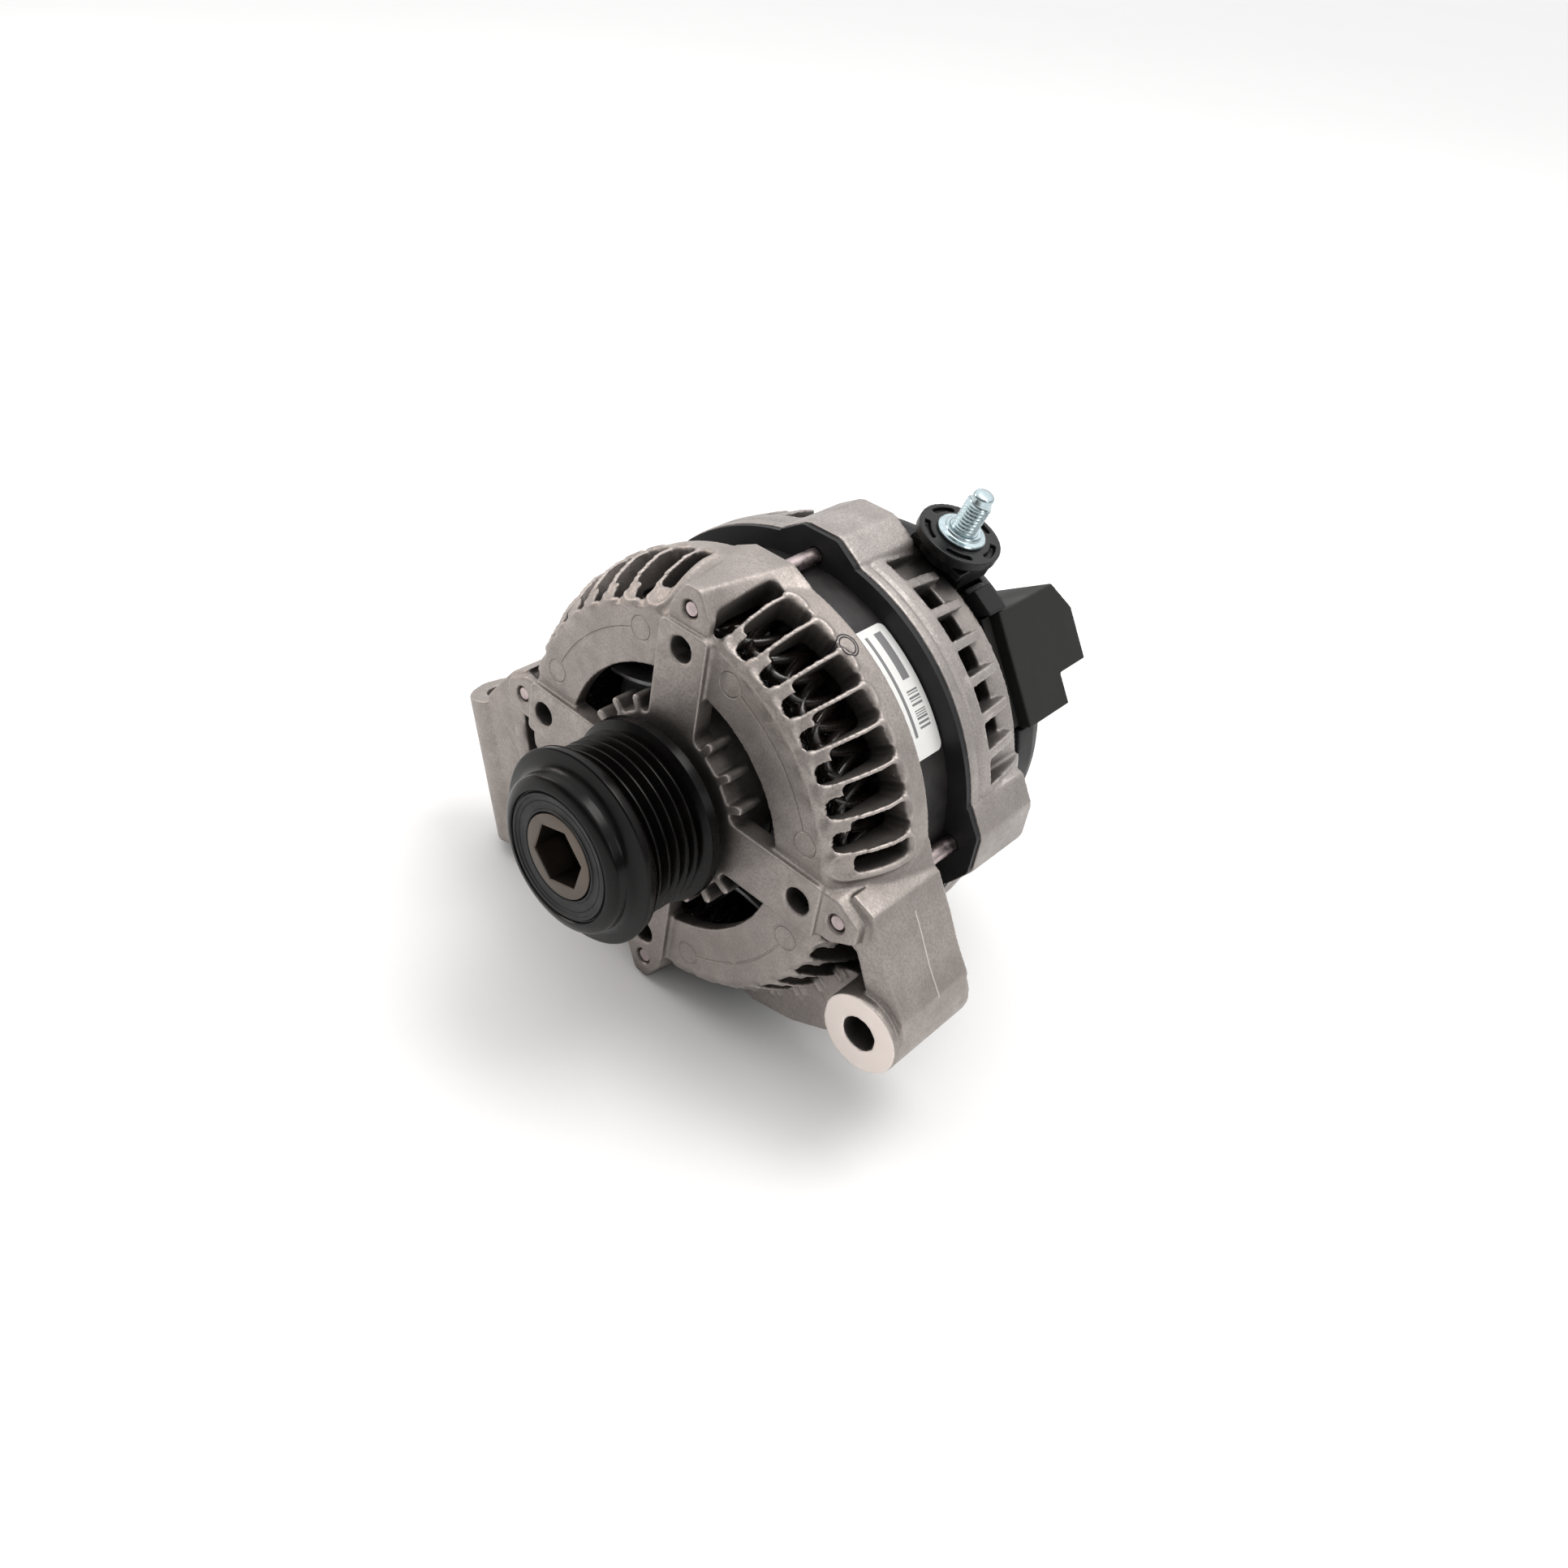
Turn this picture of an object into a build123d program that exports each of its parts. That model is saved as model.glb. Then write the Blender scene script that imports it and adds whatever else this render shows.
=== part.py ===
from build123d import *
import math
import os

# Car alternator with an overrunning belt pulley. Millimetres.
# The shaft axis is Y. The pulley end is towards -Y, +Z is up, +X is right as seen from the pulley end.
# The origin is on the shaft axis in the plane of the front housing's ring face.
# Angles are in degrees from +X towards +Z, as seen from the pulley end.

# ---- clearances ----
SEAT = 0.05                 # radial gap of a part seated in another part of the same body
AIR = 0.5                   # gap between the rotor poles and the stator bore

# ---- through bolts and bolt ears ----
BOLT_RADIUS = 64.9          # bolt circle radius
BOLT_ANGLES = (0, 90, 180, 270)
BOLT_R = 2.4
BOLT_HOLE_R = 2.55
BOLT_TIP_Y = 0.2
BOLT_HEAD_Y = 80.0
FRONT_EAR_R = 7.2
REAR_EAR = (73.0, 6.4, 67.4, 15.0)      # tip radius, half width at the tip, rim radius, half width there

# ---- front housing ----
FACE_Y = 0.0                # ring face
SPOKE_Y = -2.3              # proud face of hub and spokes
EAR_Y = -0.6
WALL = 4.5
FRONT_END_Y = 33.0
SHOULDER_R = 59.0           # where the ring face meets the shoulder
FRONT_R = 69.5
WINDOW_R = 41.9
SPOKE_W = 18.0
SPOKE_END_R = 59.5
HUB_R = 28.0
SPOKE_HOLE_R = 4.0
SPOKE_HOLE_RADIUS = 52.7
HUB_RIB_R = 33.0
HUB_RIB_W = 2.7
SLOT_PITCH = 8.9
SLOT_COUNT = 8
SLOT_W = 6.2
MARK_RADIUS = 52.7

# ---- pivot lug, lower right ----
LUG_X, LUG_Z = 79.1, -30.2
LUG_R = 12.0
LUG_BORE_R = 5.1
LUG_LENGTH = 35.0

# ---- transverse boss, left ----
BOSS_TOP = (-88.4, 12.4, -16.5)
BOSS_TILT = 20.5            # lean of the boss from vertical, towards -X at its top
BOSS_R = 12.4
BOSS_LENGTH = 53.4
BOSS_BORE_R = 6.5
BOSS_SPOT_R = 12.0          # clear room above the boss's top face for a washer

# ---- stator ----
CORE_R = 61.8
CORE_BORE_R = 47.0
CORE_Y0, CORE_Y1 = 28.5, 58.5
REGISTER_R = CORE_R + SEAT
CORE_SLOTS = 48
CORE_SLOT_W = 2.6
CORE_SLOT_R = 57.0
COIL_R0, COIL_R1 = 49.0, 57.5
COIL_FRONT_Y, COIL_REAR_Y = 10.5, 72.0

# ---- black ring behind the core ----
RING_Y0, RING_Y1 = 52.0, 54.0
RING_R = 68.2

# ---- rear housing ----
REAR_Y = 54.0
REAR_END_Y = 86.0
REAR_R = 68.7
REAR_END_R = 63.9
REAR_INNER_R = 59.5
REAR_WALL_Y = 82.0
REAR_HUB_R = 23.0
REAR_FLOOR_R = 62.6
REAR_GAP_Y = 77.2
REAR_PITCH = 9.3
REAR_SLOTS = 7
RIB_W = 2.6                 # rib width, degrees

# ---- bearings ----
FRONT_BRG = dict(bore=8.5, inner=12.6, outer_in=19.4, outer=23.5, y0=1.5, y1=15.5, ball_r=4.3, balls=8)
REAR_BRG = dict(bore=7.5, inner=10.2, outer_in=14.8, outer=17.5, y0=74.0, y1=85.0, ball_r=2.9, balls=8)
BALL_GAP = 0.2

# ---- rotor ----
POLE_R = CORE_BORE_R - AIR
POLE_COUNT = 8
POLE_Y0, POLE_Y1 = 25.5, 61.5
POLE_DISC = 9.5
SHAFT_BODY_R = 10.5
SHAFT_FRONT_Y, SHAFT_REAR_Y = -30.5, 104.0
SLIP_R = 8.2
SLIP_Y = (91.2, 98.8)
SLIP_W = 4.4

# ---- pulley ----
GROOVES = 6
GROOVE_PITCH = 3.56
FIRST_GROOVE_Y = -29.98
CREST_R = 26.4
GROOVE_BOTTOM_R = 23.3
FRONT_FLANGE_R = 29.4
REAR_FLANGE_R = 28.5
PULLEY_Y0, PULLEY_Y1 = -42.3, -6.5
HUB_RING_R = 12.9
HUB_Y0 = -41.9
HEX_AF = 17.0
ROLLER_R = 1.9
ROLLER_RADIUS = 15.05
ROLLERS = 16

# ---- rear electrics ----
SINK_R0, SINK_R1 = 28.0, 56.0
NEG_SINK_START, POS_SINK_START, SINK_END = 82.0, 66.0, 343.0
NEG_Y0, NEG_Y1 = 87.0, 90.0
POS_Y0, POS_Y1 = 97.0, 100.0
DIODE_R = 6.4
NEG_DIODE_RADIUS, POS_DIODE_RADIUS = 46.0, 37.0
NEG_DIODE_ANGLES = (110, 155, 200, 245, 290, 333)
POS_DIODE_ANGLES = (132.5, 177.5, 222.5, 267.5, 312.5)
STUD_RADIUS = 49.0
STUD_ANGLES = (132.5, 222.5, 312.5)
STUD_R = 2.5
LEAD_ANGLES = (100, 169, 190, 258, 280, 324.5)

# ---- brush gear and connector, built along +X and turned to this angle ----
PLUG_ANGLE = 33.0
BRUSH_W, BRUSH_T = 6.0, 4.2
BRUSH_R0, BRUSH_R1 = SLIP_R + 0.3, 24.0
HOLDER_R0, HOLDER_R1 = 10.2, 34.0
SPRING_WIRE_R = 0.28
PLUG_R0, PLUG_R1 = 38.0, 61.0
PLUG_Y0, PLUG_STEP_Y, PLUG_Y1 = 94.0, 116.0, 130.5
PLUG_LOW, PLUG_STEP, PLUG_HIGH = -16.0, -6.0, 21.0
PLUG_WALL = 3.2
SOCKET_Y = 113.0

# ---- B+ terminal, built along +X and turned to this angle ----
TERMINAL_ANGLE = 72.5
TERMINAL_Y = 92.0
TERMINAL_FACE_R = 73.4
TERMINAL_FLANGE_R = 13.1
TERMINAL_STUD_R = 4.0
TERMINAL_SHANK_R = 4.4      # plain part of the stud inside the insulator and washer
TERMINAL_WASHER_R = 75.8    # where the washer ends and the bare stud begins
TERMINAL_TIP_R = 89.2
TERMINAL_BASE_R = 56.2

# ---- rear cover ----
COVER_R = 60.2
COVER_SKIRT_R = 58.5
COVER_Y0, COVER_Y1 = 86.4, 112.0
COVER_WALL = 2.0
CLIP_ANGLE, CLIP_R = 55.5, 65.5     # block on the skirt between the B+ terminal and the connector


# ---- building helpers ----

def front_plane(y):
    """Plane at y seen from the pulley end: sketch x is X, sketch y is Z."""
    return Plane(origin=(0, y, 0), x_dir=(1, 0, 0), z_dir=(0, -1, 0))


def along_y(sketch, y0, y1, taper=0):
    """Extrude a front-view sketch from y1 forwards to y0."""
    return extrude(front_plane(y1) * sketch, amount=y1 - y0, taper=taper)


def turned(points):
    """Turn an outline of (radius, y) points about the shaft axis."""
    return revolve(make_face(Polyline(*points, close=True)), Axis.Y)


def turn(shape, angle):
    """Turn a shape about the shaft axis, from +X towards +Z."""
    return Rot(0, -angle, 0) * shape


def tube(r_out, r_in, y0, y1):
    return along_y(Circle(r_out) - Circle(r_in), y0, y1)


def rod(r, y0, y1, radius=0.0, angle=0.0):
    """A round rod along Y whose centre is at the given radius and angle."""
    return along_y(Pos(*polar(radius, angle)) * Circle(r), y0, y1)


def polar(radius, angle):
    return radius * math.cos(math.radians(angle)), radius * math.sin(math.radians(angle))


def sector(r_in, r_out, a0, a1):
    """Flat sector of a ring between two angles, drawn in the front view."""
    p = [polar(r_in, a0), polar(r_out, a0), polar(r_out, a1), polar(r_in, a1)]
    mid_out = polar(r_out, (a0 + a1) / 2)
    mid_in = polar(r_in, (a0 + a1) / 2)
    edges = [Line(p[0], p[1]), ThreePointArc(p[1], mid_out, p[2]),
             Line(p[2], p[3]), ThreePointArc(p[3], mid_in, p[0])]
    return make_face(edges)


def block(x0, x1, y0, y1, z0, z1):
    return Pos((x0 + x1) / 2, (y0 + y1) / 2, (z0 + z1) / 2) * Box(x1 - x0, y1 - y0, z1 - z0)


def polygon(points):
    return make_face(Polyline(*points, close=True))


def group(shapes):
    """Separate solids written as one node."""
    return Compound(children=[s for shape in shapes for s in shape.solids()])


# ---- front housing ----

def front_shell():
    outline = [Line((WINDOW_R, FACE_Y), (SHOULDER_R, FACE_Y)),
               ThreePointArc((SHOULDER_R, FACE_Y), (65.4, 8.0), (69.2, 18.0)),
               Line((69.2, 18.0), (FRONT_R, 23.0)),
               Line((FRONT_R, 23.0), (68.9, FRONT_END_Y)),
               Line((68.9, FRONT_END_Y), (REGISTER_R, FRONT_END_Y)),
               Line((REGISTER_R, FRONT_END_Y), (REGISTER_R, CORE_Y0)),
               Line((REGISTER_R, CORE_Y0), (60.3, CORE_Y0)),
               Line((60.3, CORE_Y0), (60.3, 11.0)),
               ThreePointArc((60.3, 11.0), (58.3, 6.5), (54.0, WALL)),
               Line((54.0, WALL), (WINDOW_R, WALL)),
               Line((WINDOW_R, WALL), (WINDOW_R, FACE_Y))]
    return revolve(make_face(outline), Axis.Y)


def spokes_and_hub():
    arms = Circle(HUB_R)
    for angle in BOLT_ANGLES:
        length = SPOKE_END_R - 15
        arm = Pos(15 + length / 2, 0) * RectangleRounded(length, SPOKE_W, 2.0)
        arms += Rot(0, 0, angle) * arm
    corners = [v for v in arms.vertices() if v.Z == 0 and 20 < math.hypot(v.X, v.Y) < 35]
    arms = fillet(corners, 2.5)
    body = along_y(arms, SPOKE_Y, WALL)
    body += tube(HUB_R, FRONT_BRG["outer"] + SEAT, SPOKE_Y, FRONT_BRG["y1"])
    for quadrant in BOLT_ANGLES:
        for offset in (-17.5, 0, 17.5):
            rib = Pos((HUB_RIB_R + 24) / 2, 0) * SlotOverall(HUB_RIB_R - 24, HUB_RIB_W)
            body += turn(along_y(rib, -2.1, 6.5), quadrant + 45 + offset)
    return body


def ear_sketch(tip, half_tip, base, half_base, corner):
    """Outline of a bolt ear on the +X side: a blunt tip that widens to the housing's rim."""
    outline = polygon([(50, -half_base), (base, -half_base), (tip, -half_tip),
                       (tip, half_tip), (base, half_base), (50, half_base)])
    return fillet([v for v in outline.vertices() if v.X > 51], corner)


def front_ears():
    """Bolt ears that start as a round tab at the face and widen towards the rear rim."""
    tab = ear_sketch(BOLT_RADIUS + FRONT_EAR_R, 2.6, BOLT_RADIUS - 1.0, FRONT_EAR_R, 2.2)
    rim = ear_sketch(71.6, 7.0, 67.6, 15.0, 2.2)
    ear = loft([front_plane(EAR_Y) * tab, front_plane(FRONT_END_Y) * rim])
    room = group([rod(REGISTER_R, CORE_Y0, FRONT_END_Y + 1), rod(60.3, WALL, CORE_Y0),
                  rod(SHOULDER_R - 3.5, EAR_Y - 1, WALL)])
    ear -= room
    ears = ear
    for angle in BOLT_ANGLES[1:]:
        ears += turn(ear, angle)
    return ears


def pivot_lug():
    """Axial boss, its outer side plate and the two webs that tie it to the shell."""
    boss = Pos(LUG_X, 0, LUG_Z) * Rot(90, 0, 0) * Cylinder(LUG_R, LUG_LENGTH)
    boss = Pos(0, FACE_Y + LUG_LENGTH / 2, 0) * boss
    side = polygon([(66, 9), (73.2, 6.5), (79.5, -3.5), (84.6, -12.5), (89.6, -19.5),
                    (91.0, -27.0), (84, -31), (78.5, -22), (71, -8), (62, -4)])
    upper = polygon([(64, 6), (76, 2), (86, -16), (90, -30), (74, -40), (64, -28)])
    lower = polygon([(80, -41.5), (60, -56.5), (48.5, -62.5), (34, -66.2), (26, -65),
                     (40, -50), (58, -30), (76, -24)])
    body = boss + along_y(side, 3.0, FRONT_END_Y)
    body += along_y(upper, 25.0, FRONT_END_Y) + along_y(lower, 15.0, 26.0)
    return body - rod(66, -1, FRONT_END_Y + 1)


def boss_axis():
    tilt = math.radians(BOSS_TILT)
    return Vector(-math.sin(tilt), 0, math.cos(tilt))


def boss_rod(r, start, length):
    """Rod on the transverse boss axis, from start below its top face."""
    axis = boss_axis()
    centre = Vector(*BOSS_TOP) - axis * (start + length / 2)
    return Plane(origin=centre, z_dir=axis) * Cylinder(r, length)


def transverse_boss():
    web = polygon([(-66, 8), (-72.5, 4), (-80, -6), (-88.4, -18), (-69.9, -66),
                   (-60, -61.5), (-46, -47), (-60, -20)])
    body = boss_rod(BOSS_R, 0, BOSS_LENGTH) + along_y(web, 1.2, 23.0)
    return body - rod(66, -1, FRONT_END_Y + 1)


def shoulder_slots():
    """Cooling slots over the shoulder: an open slot and a shallower rounded recess round it."""
    slot = Pos(0, 15.0) * RectangleRounded(SLOT_W - 0.8, 17.0, 1.7)
    recess = Pos(0, 13.2) * RectangleRounded(SLOT_W, 22.4, 2.6)
    out_plane = Plane(origin=(52, 0, 0), x_dir=(0, 0, 1), z_dir=(1, 0, 0))
    opening = extrude(out_plane * mirror_slot(slot), amount=30)
    dip = extrude(Pos(6.6, 0, 0) * out_plane * mirror_slot(recess), amount=30)
    cutter = opening + dip
    first = 45 - SLOT_PITCH * (SLOT_COUNT - 1) / 2
    angles = [q + first + SLOT_PITCH * k for q in BOLT_ANGLES for k in range(SLOT_COUNT)]
    return [turn(cutter, angle) for angle in angles]


def mirror_slot(sketch):
    """The outward plane has its sketch y along -Y, so the slot is flipped to run along +Y."""
    return Rot(0, 0, 180) * sketch


def face_marks():
    """Shallow parting arcs on the ring face."""
    depth = 0.35
    arcs = [sector(MARK_RADIUS - 0.25, MARK_RADIUS + 0.25, q + 23.3, q + 66.7) for q in BOLT_ANGLES]
    return [along_y(arc, FACE_Y - 1, FACE_Y + depth) for arc in arcs]


def front_housing():
    body = front_shell() + spokes_and_hub() + front_ears()
    body -= group(shoulder_slots())
    body += pivot_lug() + transverse_boss()
    cutters = [rod(14.0, -5, 3), rod(FRONT_BRG["outer"] + SEAT, FRONT_BRG["y0"], 17)]
    for angle in BOLT_ANGLES:
        cutters.append(rod(BOLT_HOLE_R, -2, FRONT_END_Y + 1, BOLT_RADIUS, angle))
        cutters.append(rod(2.9, -2, 0.5, BOLT_RADIUS, angle))
        cutters.append(rod(SPOKE_HOLE_R, -4, WALL + 1, SPOKE_HOLE_RADIUS, angle))
        cutters.append(rod(1.6, 8, 17, 25.8, angle + 45))
    lug_bore = Pos(LUG_X, LUG_LENGTH / 2, LUG_Z) * Rot(90, 0, 0) * Cylinder(LUG_BORE_R, LUG_LENGTH + 2)
    cutters += [lug_bore, boss_rod(BOSS_BORE_R, -1, BOSS_LENGTH + 2), boss_rod(BOSS_SPOT_R, -20, 20)]
    return body - group(cutters + face_marks())


# ---- rear housing ----

def rear_shell():
    return turned([(REGISTER_R, REAR_Y), (REAR_R, REAR_Y), (REAR_R, 57.2), (REAR_R - 0.5, 57.6),
                   (REAR_R - 0.5, 58.6), (REAR_R, 59.0), (REAR_R, 63.0), (66.8, 76.0), (65.2, 83.0),
                   (REAR_END_R, REAR_END_Y), (REAR_HUB_R - 3, REAR_END_Y), (REAR_HUB_R - 3, REAR_WALL_Y),
                   (53.0, REAR_WALL_Y), (57.5, 80.0), (REAR_INNER_R, 75.0), (REAR_INNER_R, CORE_Y1),
                   (REGISTER_R, CORE_Y1)])


def rear_ears():
    room = group([rod(REGISTER_R, REAR_Y - 1, CORE_Y1), rod(REAR_INNER_R, CORE_Y1, BOLT_HEAD_Y + 1)])
    ear = along_y(ear_sketch(*REAR_EAR, 3.0), REAR_Y, BOLT_HEAD_Y) - room
    return [turn(ear, angle) for angle in BOLT_ANGLES]


def rear_windows():
    """Recessed floors between axial ribs, each with an open slot at its front end."""
    cutters = []
    half = (REAR_PITCH - RIB_W) / 2
    for quadrant in BOLT_ANGLES:
        for k in range(REAR_SLOTS):
            middle = quadrant + 45 + REAR_PITCH * (k - REAR_SLOTS // 2)
            floor = sector(REAR_FLOOR_R, 80, middle - half, middle + half)
            cutters.append(along_y(floor, 64.0, REAR_END_Y + 1))
            if 0 < k < REAR_SLOTS - 1:
                gap = sector(50, 80, middle - half + 0.15, middle + half - 0.15)
                cutters.append(along_y(gap, 64.0, REAR_GAP_Y))
        reach = REAR_PITCH * REAR_SLOTS / 2 - RIB_W / 2
        rim = sector(REAR_FLOOR_R, 80, quadrant + 45 - reach, quadrant + 45 + reach)
        cutters.append(along_y(rim, 80.0, REAR_END_Y + 1))
    return cutters


def rear_housing():
    body = rear_shell()
    for ear in rear_ears():
        body += ear
    body += tube(REAR_HUB_R, 18.6, 72.0, REAR_END_Y)
    body -= group(rear_windows())
    cutters = [rod(13.0, 70, 90)]
    for k in range(8):
        inlet = sector(27.5, 52, 22.5 + 45 * k - 16, 22.5 + 45 * k + 16)
        cutters.append(along_y(fillet(inlet.vertices(), 2.5), 70, 90))
    for angle in BOLT_ANGLES:
        cutters.append(rod(BOLT_HOLE_R, REAR_Y - 1, BOLT_HEAD_Y + 1, BOLT_RADIUS, angle))
        cutters.append(rod(6.4, BOLT_HEAD_Y, REAR_END_Y + 1, BOLT_RADIUS, angle))
    body -= group(cutters)
    for angle in STUD_ANGLES:
        pad = rod(5.5, REAR_WALL_Y - 2, REAR_END_Y + 0.9, STUD_RADIUS, angle)
        body += pad - rod(STUD_R + SEAT, 70, 90, STUD_RADIUS, angle)
    bearing_room = rod(18.6, 73.9, 85.1)
    return body - bearing_room - group([rod(STUD_R + SEAT, 78, 90, STUD_RADIUS, a) for a in STUD_ANGLES])


# ---- stator ----

def core_slot_sketch(width, r_in, r_out):
    slot = Pos((r_in + r_out) / 2, 0) * Rectangle(r_out - r_in, width)
    return [Rot(0, 0, 360 / CORE_SLOTS * k) * slot for k in range(CORE_SLOTS)]


def stator_core():
    face = Circle(CORE_R) - Circle(CORE_BORE_R) - core_slot_sketch(CORE_SLOT_W, 46, CORE_SLOT_R)
    return along_y(face, CORE_Y0, CORE_Y1)


def coil_end(y_tip, y_root):
    """Ring of coil ends, rounded at its tip."""
    lean = 2.5 if y_root > y_tip else -2.5
    return turned([(COIL_R0, y_root), (COIL_R0, y_tip + lean), (COIL_R0 + 2.2, y_tip),
                   (COIL_R1 - 2.2, y_tip), (COIL_R1, y_tip + lean), (COIL_R1, y_root)])


def stator_winding():
    bars = along_y(Sketch() + core_slot_sketch(CORE_SLOT_W - 0.3, COIL_R0 - 0.6, CORE_SLOT_R - 0.3),
                   CORE_Y0 - 3, CORE_Y1 + 3)
    front = coil_end(COIL_FRONT_Y, CORE_Y0 - 2)
    rear = coil_end(COIL_REAR_Y, CORE_Y1 + 2)
    return front + rear + bars


def stator_seal_ring():
    face = Circle(RING_R)
    tip, half_tip, base, half_base = REAR_EAR
    for angle in BOLT_ANGLES:
        face += Rot(0, 0, angle) * ear_sketch(tip - 0.6, half_tip, base - 0.6, half_base - 0.4, 3.0)
    face -= Circle(REGISTER_R)
    for angle in BOLT_ANGLES:
        face -= Rot(0, 0, angle) * Pos(BOLT_RADIUS, 0) * Circle(BOLT_HOLE_R + 0.2)
    return along_y(face, RING_Y0, RING_Y1)


def through_bolts():
    bolts = []
    for angle in BOLT_ANGLES:
        shank = rod(BOLT_R, BOLT_TIP_Y, BOLT_HEAD_Y, BOLT_RADIUS, angle)
        tip = shank.faces().sort_by(Axis.Y)[0]
        shank = chamfer(tip.edges(), 0.4)
        flange = rod(5.6, BOLT_HEAD_Y, BOLT_HEAD_Y + 1.2, BOLT_RADIUS, angle)
        x, z = polar(BOLT_RADIUS, angle)
        head = along_y(Pos(x, z) * RegularPolygon(4.0, 6, major_radius=False), BOLT_HEAD_Y + 1.2, 85.4)
        bolts.append(shank + flange + head)
    return group(bolts)


def label():
    plate = sector(CORE_R + 0.02, CORE_R + 0.27, 27.7, 64.7)
    return along_y(plate, 36.0, 51.4)


# ---- bearings ----

def bearing_centre(brg):
    return (brg["y0"] + brg["y1"]) / 2, (brg["inner"] + brg["outer_in"]) / 2


def ball_groove(brg):
    y, radius = bearing_centre(brg)
    return Pos(0, y, 0) * Rot(90, 0, 0) * Torus(radius, brg["ball_r"] + BALL_GAP)


def outer_race(brg):
    return tube(brg["outer"], brg["outer_in"], brg["y0"], brg["y1"]) - ball_groove(brg)


def inner_race(brg):
    return tube(brg["inner"], brg["bore"], brg["y0"], brg["y1"]) - ball_groove(brg)


def ball_centres(brg):
    y, radius = bearing_centre(brg)
    spots = [polar(radius, 360 / brg["balls"] * k) for k in range(brg["balls"])]
    return [Pos(x, y, z) for x, z in spots]


def bearing_balls(brg):
    return group([spot * Sphere(brg["ball_r"]) for spot in ball_centres(brg)])


def bearing_cage(brg):
    """Band between the races with a round radial pocket for every ball."""
    y, radius = bearing_centre(brg)
    half = brg["ball_r"] + 0.9
    cage = tube(radius + 1.0, radius - 1.0, y - half, y + half)
    pocket = Pos(radius, y, 0) * Rot(0, 90, 0) * Cylinder(brg["ball_r"] + 0.15, 6)
    return cage - group([turn(pocket, 360 / brg["balls"] * k) for k in range(brg["balls"])])


def front_bearing_retainer():
    y = FRONT_BRG["y1"]
    plate = tube(29.2, 21.0, y, y + 1.8)
    return plate - group([rod(1.8, y - 1, y + 3, 25.8, a + 45) for a in BOLT_ANGLES])


def retainer_screws():
    y = FRONT_BRG["y1"] + 1.8
    return group([rod(1.5, 9.0, y, 25.8, a + 45) + rod(2.8, y, y + 1.5, 25.8, a + 45)
                  for a in BOLT_ANGLES])


def rear_bearing_sleeve():
    return tube(18.6 - SEAT, REAR_BRG["outer"] + SEAT, REAR_BRG["y0"], REAR_BRG["y1"])


# ---- rotor ----

def shaft():
    return turned([(0, SHAFT_FRONT_Y), (7.5, SHAFT_FRONT_Y), (8.0, SHAFT_FRONT_Y + 1), (8.0, 1.5),
                   (8.45, 1.5), (8.45, 15.5), (SHAFT_BODY_R, 15.5), (SHAFT_BODY_R, 74.0),
                   (7.45, 74.0), (7.45, 86.5), (5.4, 86.5), (5.4, SHAFT_REAR_Y - 1),
                   (4.9, SHAFT_REAR_Y), (0, SHAFT_REAR_Y)])


def claw():
    """One tapering pole finger pointing along +Y on the +X side."""
    root, tip = 8.3, 3.9
    length = POLE_Y1 - POLE_Y0 - 2.5
    shape = polygon([(-root, 0), (root, 0), (root, POLE_DISC - 1), (tip, length), (-tip, length),
                     (-root, POLE_DISC - 1)])
    plane = Plane(origin=(30, POLE_Y0, 0), x_dir=(0, 0, 1), z_dir=(1, 0, 0))
    finger = extrude(plane * Rot(0, 0, 180) * shape, amount=25)
    room = turned([(POLE_R, POLE_Y0), (POLE_R, POLE_Y0 + length), (43.2, POLE_Y0 + length),
                   (38.4, POLE_Y0 + POLE_DISC), (38.4, POLE_Y0)])
    return finger & room


def pole_half():
    face = Circle(31)
    for k in range(POLE_COUNT):
        face += Rot(0, 0, 360 / POLE_COUNT * k) * Pos(34, 0) * Rectangle(18, 15.4)
    disc = along_y(face & Circle(POLE_R), POLE_Y0, POLE_Y0 + POLE_DISC)
    middle = (POLE_Y0 + POLE_Y1) / 2
    body = disc + tube(20, SHAFT_BODY_R, POLE_Y0, middle)
    for k in range(POLE_COUNT):
        body += turn(claw(), 360 / POLE_COUNT * k)
    return body - rod(SHAFT_BODY_R + SEAT, 0, 90)


def rear_pole():
    middle = (POLE_Y0 + POLE_Y1) / 2
    flipped = mirror(pole_half(), about=Plane(origin=(0, middle, 0), z_dir=(0, 1, 0)))
    return turn(flipped, 180 / POLE_COUNT)


def coil_bobbin():
    y0, y1 = POLE_Y0 + POLE_DISC + 0.3, POLE_Y1 - POLE_DISC - 0.3
    return turned([(20.2, y0), (36.0, y0), (36.0, y0 + 1.2), (21.6, y0 + 1.2),
                   (21.6, y1 - 1.2), (36.0, y1 - 1.2), (36.0, y1), (20.2, y1)])


def field_coil():
    y0, y1 = POLE_Y0 + POLE_DISC + 1.6, POLE_Y1 - POLE_DISC - 1.6
    return turned([(21.7, y0), (35.4, y0), (36.6, y0 + 1.6), (36.6, y1 - 1.6), (35.4, y1), (21.7, y1)])


def fan(y_disc, y_tip, blades, lean):
    """Pressed fan: a disc with curved blades standing from it towards y_tip."""
    thick = 1.3
    step = thick if y_tip > y_disc else -thick
    low, high = sorted((y_disc, y_disc + step))
    body = tube(43.5, SHAFT_BODY_R + SEAT, low, high)
    blade_low, blade_high = sorted((y_disc + step, y_tip))
    for k in range(blades):
        foot, top = polar(30.8, 0), polar(44.0, lean)
        mid = polar(37.0, lean * 0.72)
        line = ThreePointArc(foot, mid, top)
        blade = trace(line, 1.2)
        body += turn(along_y(blade, blade_low, blade_high), 360 / blades * k)
    return body


def slip_ring(index):
    y = SLIP_Y[index]
    return tube(SLIP_R, 6.8 + SEAT, y - SLIP_W / 2, y + SLIP_W / 2)


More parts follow.
